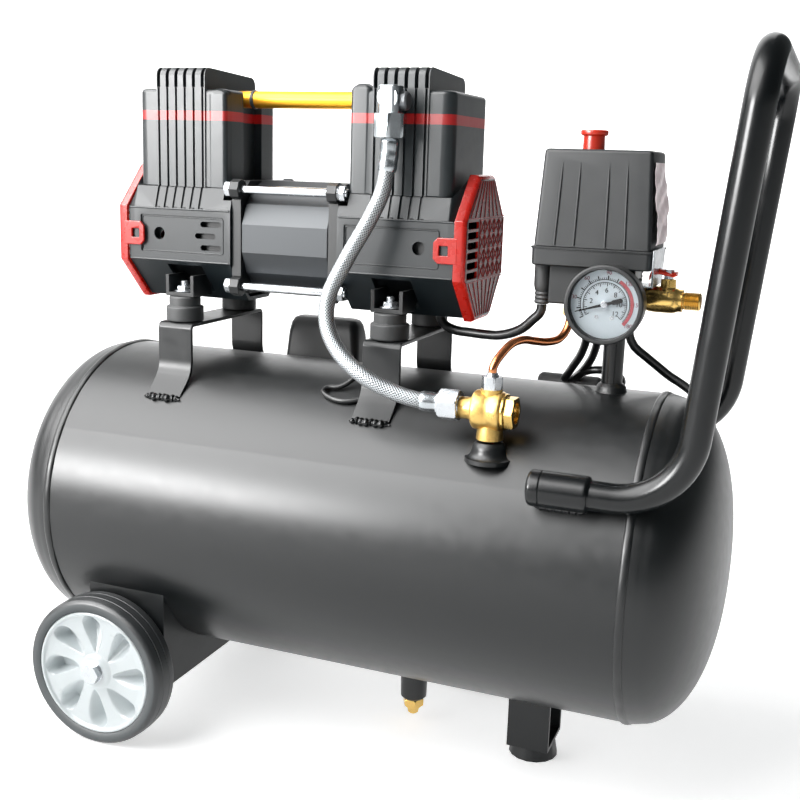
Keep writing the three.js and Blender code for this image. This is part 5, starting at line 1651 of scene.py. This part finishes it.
        knob = lathe([(0, high - 6), (kr - 0.4, high - 6), (kr, high), (kr - 0.3, high + kt - 4.4),
                      *arc(kr + 1.0, high + kt - 2.9, 0.9, -70, 0, 4),
                      *arc(kr + 0.9, high + kt - 1.1, 1.1, 0, 90, 4),
                      (kr - 1.2, high + kt), (kr - 2.2, high + kt - 0.9), (0, high + kt - 0.9)], Axis.Z, 64)
        knob.moved(kx).moved(x, 0, z).piece("switch_button", "switch_knob", Paint.red,
                replaces=["switch_knob"])
        self.label(x, z)
        strap = (block(221.2, 222.4, -31.5, 14, 207, self.levels[1] + 1) + block(208, 222.4, -31.5, -6, 207,
                208.2))
        strap.moved(x, 0, z).fixed("switch_strap", Paint.zinc, bevel=0.3)
        self.build_gauge(x, z)
        self.build_outlet(x, z)

    def label(self, x: float, z: float) -> None:
        """A plain film label on the case's right side, lifted and creased: x = side + a sum of sines."""
        _, x1, y0, y1 = self.case
        _, low, high = self.levels
        v, w = np.meshgrid(np.linspace(0, 1, 44), np.linspace(0, 1, 30), indexing="ij")
        crease = 0.9 * np.sin(9 * v + 3 * w) + 0.6 * np.sin(21 * v - 8 * w) + 0.35 * np.sin(40 * v + 17 * w)
        edge = (w - 0.5) ** 2 * 7
        rows = np.stack([x1 + 1.9 - self.draft * v + crease * 0.6 + edge * (0.4 + 0.6 * np.sin(5 * v)),
                         y0 + 6 + (y1 - y0 - 14) * w, low + 4 + (high - low - 12) * v], -1)
        back = rows - [0.35, 0, 0]
        rings = np.concatenate([rows, back[:, ::-1]], axis=1)
        grid(rings).moved(x, 0, z).fixed("side_label", Paint.film, smooth=60)

    def build_gauge(self, x: float, z: float) -> None:
        """Make the gauge: case, dial, marks, needle and lens."""
        px, gz = self.pipe_x, self.gauge_z
        front, back = self.gauge_y
        r, d = self.gauge_radius, self.dial_radius
        case = [(0, back), (r - 3.5, back), (r - 1, back - 1.5), (r - 0.6, front + 6), (r, front + 5),
                (r, front + 1.4),
                *[(r - 1.3 + 1.3 * math.cos(t), front + 1.3 - 1.3 * math.sin(t)) for t in np.linspace(0.2,
                        1.57, 5)],
                (d + 0.6, front + 0.1), (d, front + 1), (d, front + 7.0), (0, front + 7.0)]
        stem = lathe([(0, back - 0.5), (6.4, back - 0.5), (6.4, -13.3), (0, -13.3)], Axis.Y, 40)
        nut = hexagon(14, back + 4, back + 12, Axis.Y)
        (lathe(case, Axis.Y, 96) + stem + nut).moved(px, 0, gz).moved(x, 0, z).fixed(
            "gauge_case", Paint.dark, replaces=["gauge"])
        lathe([(0, front + 6.95), (d - 0.2, front + 6.95), (d - 0.2, front + 7.2), (0, front + 7.2)], Axis.Y,
              96).moved(
            px, 0, gz).moved(x, 0, z).fixed("gauge_dial", Paint.dial)
        black, red = self.dial_marks((px + x, gz + z))
        black.fixed("dial_scale", Paint.ink)
        red.fixed("dial_red_arc", Paint.mark)
        self.numerals((px + x, gz + z), 2, 9.9, 5.0).fixed("dial_numbers", Paint.ink)
        self.numerals((px + x, gz + z), 30, 22.2, 3.9).fixed("dial_outer_numbers", Paint.plum)
        dots = [rod(1.5, front + 6.7, front + 6.9, Axis.Y).moved(dx, 0, -9.2) for dx in (-5.4, 5.4)]
        together(dots).moved(px, 0, gz).moved(x, 0, z).fixed("dial_dots", Paint.zinc)
        lean = math.radians(17)
        turn = np.array([[math.cos(lean), 0, math.sin(lean)], [0, 1, 0],
                         [-math.sin(lean), 0, math.cos(lean)]])
        turn = turn.T
        hand = [(-21.5, -0.3), (-3, -1.0), (0, -1.2), (5, -1.0), (6.4, -1.7), (12.4, -1.7), (13.4, 0),
                (12.4, 1.7),
                (6.4, 1.7), (5, 1.0), (0, 1.2), (-3, 1.0), (-21.5, 0.3)]
        y = front + 4.9
        prism(hand, y - 0.3, y + 0.3, Axis.Y).turned(turn).moved(px, 0, gz).moved(x, 0, z).piece(
            "needle_hand", "gauge_needle", Paint.ink, replaces=["gauge_needle"], bevel=0.12)
        rod(2.5, y - 1.1, y + 2, Axis.Y, edge=0.3).moved(px, 0, gz).moved(x, 0, z).piece(
            "needle_pivot", "gauge_needle", Paint.zinc)
        lathe([(0, front + 2.2), (d - 0.05, front + 2.2), (d - 0.05, front + 2.8), (0, front + 2.8)], Axis.Y,
              96).moved(
            px, 0, gz).moved(x, 0, z).fixed("gauge_glass", Paint.lens)

    def build_outlet(self, x: float, z: float) -> None:
        """Make the outlet valve: body, hexes, thread, stem and lever."""
        ox, oz = self.outlet
        thread = [(6.7 if i % 2 else 6.05, ox + 24 + i * 0.62) for i in range(18)]
        body = (lathe([(0, self.pipe_x + 13.4), (6.9, self.pipe_x + 13.4), (6.9, ox - 5), (8.2, ox - 4),
                       (9.2, ox - 1),
                       (9.6, ox + 3), (9.6, ox + 15), (9.0, ox + 18), (8.2, ox + 20), (8.2, ox + 22.6),
                       (6.2, ox + 23.2),
                       *thread, (5.4, ox + 35.6), (4.3, ox + 35.6), (4.2, ox + 26), (0, ox + 26)], Axis.X, 64)
                + lathe([(0, 0), (7.2, 0), (7.0, 7.6), (5.6, 9.4), (5.4, 14.4), (0, 14.4)], Axis.Z,
                        48).moved(ox + 11.5))
        body.moved(x, 0, z + oz).fixed("outlet_body", Paint.turned, replaces=["outlet_valve"], smooth=30)
        nuts = hexagon(17.5, ox - 10.5, ox - 4.5, Axis.X, 8)
        nuts.moved(x, 0, z + oz).fixed("outlet_nut", Paint.brass)
        top = oz + 13.3
        hexagon(9, 12.4, 15.2).moved(ox + 11.5, 0, oz).moved(x, 0, z).fixed("outlet_gland", Paint.turned)
        path = np.array([(-13.5, 0, 3.6), (-12, 0, 6.2), (-8, 0, 8.2), (-3, 0, 7.2), (2, 0, 6.0),
                         (6, 0, 7.0)], float)
        wide = spline(path, 0.8)
        u = np.linspace(0, 1, len(wide))
        half = 3.8 + 1.2 * np.cos(2 * math.pi * u) ** 2
        thick = 2.6 - 0.9 * u
        loop = rounded(2, 2, 0.85, 3)
        rings = np.stack([np.broadcast_to(wide[:, None, 0], (len(wide), len(loop))),
                          half[:, None] * loop[:, 0],
                          wide[:, None, 2] + thick[:, None] * loop[:, 1]], -1)
        grid(rings).moved(ox + 11.5, 0, top - 1).moved(x, 0, z).piece(
            "lever_grip", "valve_lever", Paint.red, replaces=["valve_lever"], smooth=50)
        (rod(3.4, 1.4, 6.6, edge=0.4) + hexagon(6.5, 6.0, 8.8)).moved(ox + 11.5, 0, top).moved(x, 0, z).piece(
            "lever_nut", "valve_lever", Paint.zinc)


# ---------- wiring ----------
@dataclass
class Wiring:
    """Motor cable, mains lead with its coil and plug, and the short leads under the switch."""

    motor: tuple[Vec, ...] = (
        (55, 0, 172.2), (55, 0, 170), (59, 0, 164), (68, 0, 160.5), (80, -1, 159.8), (92, -3, 159.6),
        (104.4, -6, 160.3), (116, -9, 163.5), (125.5, -11.5, 168.5), (133, -13, 175.5), (138, -13.8, 180.5),
        (139.5, -14, 184.5), (139.5, -14, 187.6),
    )
    mains: tuple[Vec, ...] = (
        (200, 22, 169), (200, 22, 164.5), (204, 24, 156), (211, 28, 149.5), (220, 34, 141.5), (229, 42, 133),
        (238, 54, 125), (246, 67, 116), (254, 81, 103), (259.5, 95, 86), (261.5, 108, 64), (261.5, 121, 36),
        (260, 131, 2), (256.5, 138, -36), (250.5, 142, -74), (242, 144, -110), (230, 145, -142),
        (214, 146, -165),
        (196, 148, -176), (176, 151.5, -178.3), (156, 157.5, -178.3), (136, 165.5, -178.3),
        (118, 174, -178.3),
        (102, 182, -178.3), (88, 189.1, -178.3),
    )
    radius: float = 3.4
    coil: tuple[float, float, float] = (70.0, 140.0, 38.0)
    turns: float = 5.0
    plug: tuple[float, float, float] = (-4.0, 178.0, 10.5)

    def build(self, at: Places) -> None:
        """Make the cables."""
        x, z = at.tank
        shift = np.array([x, 0, z])
        motor = spline(self.motor, 1.5) + shift
        lead = tube(motor, 3.7, 24).fixed("motor_lead", Paint.cable, replaces=["motor_cable"])
        plug = self.plug_surface().moved(x, 0, 0).fixed("plug_body", Paint.rubber, replaces=["mains_plug"])
        pins = [rod(2.4, -53, -33, Axis.X, edge=0.8).moved(0, 9.5 * a, 0) for a in (-1, 1)]
        px, py, pz = self.plug
        pins = together(pins).moved(px, py, pz).moved(x, 0, 0).fixed("plug_pins", Paint.zinc)
        path = self.mains_path(at) + np.array([x, 0, 0])
        cord = tube(path, self.radius, 16).fixed(
            "mains_lead", Paint.cable, replaces=["mains_cord", "cord_coil"])
        relief = [(0, 169.3), (4.3, 169.3)]
        for i in range(7):
            h = 171.5 + i * 3.9
            r = 4.5 + i * 0.17
            relief += [(r, h), (r + 0.5, h + 0.5), (r + 0.5, h + 2.4), (r - 0.4, h + 2.8)]
        relief += [(6.3, 198.6), (6.3, 201.6), (0, 201.6)]
        lathe(relief, Axis.Z, 40).moved(200, 22).moved(x, 0, z).fixed(
            "lead_relief", Paint.rubber, replaces=["strain_relief"])
        self.leads(shift)

    def mains_path(self, at: Places) -> np.ndarray:
        """The lead's centre line: the chosen route, the coil's turns, and the run to the plug.

        The coil is wound in layers of three turns a diameter apart; the radius slides from one lane to
        the next within each turn, and the height from one layer to the next.
        """
        route = spline([(px, py, pz + at.tank[1]) for px, py, pz in self.mains], 4.0)
        cx, cy, _ = self.coil
        start = math.atan2(route[-1][1] - cy, route[-1][0] - cx)
        radius = math.hypot(route[-1][1] - cy, route[-1][0] - cx)
        d = 2 * self.radius + 0.15
        t = np.linspace(0, 1, 36 * 5)
        turn = start + TURN * self.turns * t
        at_turn = t * self.turns
        r = np.interp(at_turn, np.arange(6), [radius, *(radius - d * np.array([1, 2])), radius - 2 * d - 0.1,
                                              radius - d - 0.1, radius - 0.1])
        h = np.interp(at_turn, [0, 2.0, 2.45, 5.0], [3.7, 3.7, 3.7 + d, 3.7 + d])
        loops = np.stack([cx + r * np.cos(turn), cy + r * np.sin(turn), h], -1)
        end = loops[-1]
        heading = np.array([-math.sin(turn[-1]), math.cos(turn[-1]), 0])
        px, py, pz = self.plug
        socket = np.array([px + 13.5, py, pz - 2])
        tail = spline([end, end + heading * 18 + [0, 0, -0.6], socket + [16, 1.0, 0.6], socket], 4.0)
        return np.vstack([route[:-1], loops[:-1], tail])

    def plug_surface(self) -> Surface:
        """The plug's body: a soft block that narrows into a ribbed tail, as rings along X."""
        x, y, z = self.plug
        t = np.linspace(0, 1, 30)
        half_y = np.interp(t, [0, 0.04, 0.5, 0.72, 0.86, 1], [11.5, 13, 13, 8, 5.2, 4.5])
        half_z = np.interp(t, [0, 0.04, 0.5, 0.72, 0.86, 1], [8, 9, 9, 6.5, 5.0, 4.5])
        ripple = 1 - 0.09 * (t > 0.74) * (np.sin(t * 120) > 0)
        a = np.linspace(0, TURN, 40, endpoint=False)
        c, s = np.cos(a), np.sin(a)
        cy = np.sign(c) * np.abs(c) ** 0.6
        cz = np.sign(s) * np.abs(s) ** 0.6
        rings = np.stack([np.broadcast_to((x - 34 + 48 * t)[:, None], (30, 40)),
                          y + (half_y * ripple)[:, None] * cy, z - 1 + (half_z * ripple)[:, None] * cz], -1)
        return grid(rings)

    def leads(self, shift: np.ndarray) -> None:
        """The short leads that hang from the switch to the splice behind the standpipe."""
        runs = {
            "lead_left": [(163, 0, 190), (166, 2, 178), (169, 12, 163), (163, 28, 147), (152, 46, 131),
                          (143, 62, 119)],
            "lead_right": [(180, 2, 190), (181, 6, 176), (176, 22, 158), (169, 40, 142), (160, 54, 129),
                           (150, 66, 119)],
            "lead_loop": [(150, 66, 118), (160, 54, 127), (172, 48, 131), (184, 50, 130), (190, 60, 122),
                          (184, 72, 112), (170, 74, 111)],
        }
        for name, points in runs.items():
            path = spline(points, 2.0) + shift
            tube(path, 3.2, 16).piece(name, "frame", Paint.cable)
        wire = [(30, -6, 176), (24, -20, 160), (14, -32, 142), (3, -45, 124), (-7, -52, 116.5),
                (-16, -54, 115.4),
                (-18, -59, 113), (-10, -64, 110), (4, -66, 109), (22, -60, 112.5)]
        tube(spline(wire, 1.5) + shift, 2.0, 14).fixed("lead_capacitor", Paint.cable)
        splice = lathe([(0, -26), (7, -26), *arc(5.5, -22.5, 3.5, -60, 0, 4), *arc(5.5, 22.5, 3.5, 0, 60, 4),
                        (0, 26)], Axis.X, 32)
        splice.moved(146, 70, 112).moved(*shift).fixed("lead_splice", Paint.rubber)


# ---------- stage ----------
@dataclass
class Stage:
    """Camera, floor and soft studio light, in metres."""

    eye: tuple[float, float, float] = (0.3360, -0.81821, 0.46956)
    heading: float = 21.31
    pitch: float = 12.09
    roll: float = 1.76
    lens: float = 49.8
    floor_glow: float = 0.6
    backdrop_glow: float = 1.0
    sky: tuple[float, float, float] = (0.92, 1.0, 1.02)
    sky_strength: float = 0.1
    key_at: tuple[float, float, float] = (-1.15, -0.95, 1.72)
    key_toward: tuple[float, float, float] = (0.0, 0.0, 0.3)

    def camera(self) -> None:
        """A level look along the heading, pitched down and rolled."""
        a, e, r = (math.radians(v) for v in (self.heading, self.pitch, self.roll))
        ahead = np.array([-math.sin(a) * math.cos(e), math.cos(a) * math.cos(e), -math.sin(e)])
        right = np.array([math.cos(a), math.sin(a), 0])
        up = np.cross(right, ahead)
        right, up = math.cos(r) * right + math.sin(r) * up, -math.sin(r) * right + math.cos(r) * up
        data = bpy.data.cameras.new("camera")
        data.lens, data.sensor_width, data.clip_start = self.lens, 36, 0.01
        thing = bpy.data.objects.new("camera", data)
        bpy.context.scene.collection.objects.link(thing)
        turn = np.column_stack([right, up, -ahead])
        thing.matrix_world = Matrix.Translation(self.eye) @ Matrix(turn.tolist()).to_4x4()
        bpy.context.scene.camera = thing

    def light(self, name: str, at: Vec, toward: Vec, size: tuple[float, float], power: float,
              card: bool = False) -> None:
        """A rectangular soft light; a card only shows in glossy surfaces."""
        data = bpy.data.lights.new(name, "AREA")
        data.shape, data.size, data.size_y, data.energy = "RECTANGLE", *size, power
        thing = bpy.data.objects.new(name, data)
        thing.visible_diffuse = not card
        bpy.context.scene.collection.objects.link(thing)
        back = np.array(at, float) - np.array(toward, float)
        back /= np.linalg.norm(back)
        side = np.cross([0, 0, 1], back)
        side /= np.linalg.norm(side)
        turn = np.column_stack([side, np.cross(back, side), back])
        thing.matrix_world = Matrix.Translation(list(at)) @ Matrix(turn.tolist()).to_4x4()

    def build(self) -> None:
        """Make the floor, the sky and the lights."""
        self.sheet("floor", [(-40, -40, 0), (40, -40, 0), (40, 40, 0), (-40, 40, 0)], self.floor_glow)
        self.sheet("backdrop", [(-9, 2.4, -0.01), (0.5, 2.4, -0.01), (0.5, 2.4, 4), (-9, 2.4, 4)],
                   self.backdrop_glow)
        world = bpy.data.worlds.new("studio")
        world.use_nodes = True
        world.node_tree.nodes["Background"].inputs[0].default_value = (*self.sky, 1.0)
        world.node_tree.nodes["Background"].inputs[1].default_value = self.sky_strength
        bpy.context.scene.world = world
        bpy.context.scene.view_settings.view_transform = "Standard"
        self.light("key_box", self.key_at, self.key_toward, (2.3, 1.8), 76)
        self.light("key_card", self.key_at, self.key_toward, (2.3, 1.5), 620, True)
        self.light("front_card", (-1.3, -1.75, 0.76), (-0.1, 0, 0.5), (0.95, 0.5), 60, True)

    def sheet(self, name: str, corners: list[Vec], glow: float) -> None:
        """A sheet of glowing white paper."""
        shader = Shader(name)
        shader.set(Base_Color=(0.9, 0.9, 0.9), Roughness=0.85, Specular_IOR_Level=0.0)
        shader.set(Emission_Color=(1.0, 1.0, 1.0), Emission_Strength=glow)
        mesh = bpy.data.meshes.new(name)
        mesh.from_pydata(corners, [], [(0, 1, 2, 3)])
        mesh.materials.append(shader.made)
        thing = bpy.data.objects.new(name, mesh)
        bpy.context.scene.collection.objects.link(thing)


def main() -> None:
    """Build the compressor round its frame."""
    logging.basicConfig(level=logging.INFO, format="%(name)s: %(message)s")
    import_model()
    at = Places.found()
    Stage().camera()
    groups: list[tuple[str, Callable[[], None]]] = [
        ("wiring", lambda: Wiring().build(at)),
        ("tank and handle", lambda: Tank().build(at)),
        ("front wheel", lambda: Wheel().build("front", -1)),
        ("rear wheel", lambda: Wheel().build("rear", 1)),
        ("brackets", lambda: Brackets().build(at)),
        ("motor", lambda: Motor().build(at)),
        ("left pump", lambda: PumpUnit(Side.LEFT).build(at)),
        ("right pump", lambda: PumpUnit(Side.RIGHT).build(at)),
        ("delivery line", lambda: Delivery().build(at)),
        ("pressure control", lambda: Control().build(at)),
    ]
    for name, build in groups:
        before = {thing.name for thing in bpy.data.objects}
        build()
        for thing in bpy.data.objects:
            if thing.name not in before:
                LOG.info("%s: %s, %d faces", name, thing.name, len(thing.data.polygons))
    Stage().build()


if __name__ == "__main__":
    main()
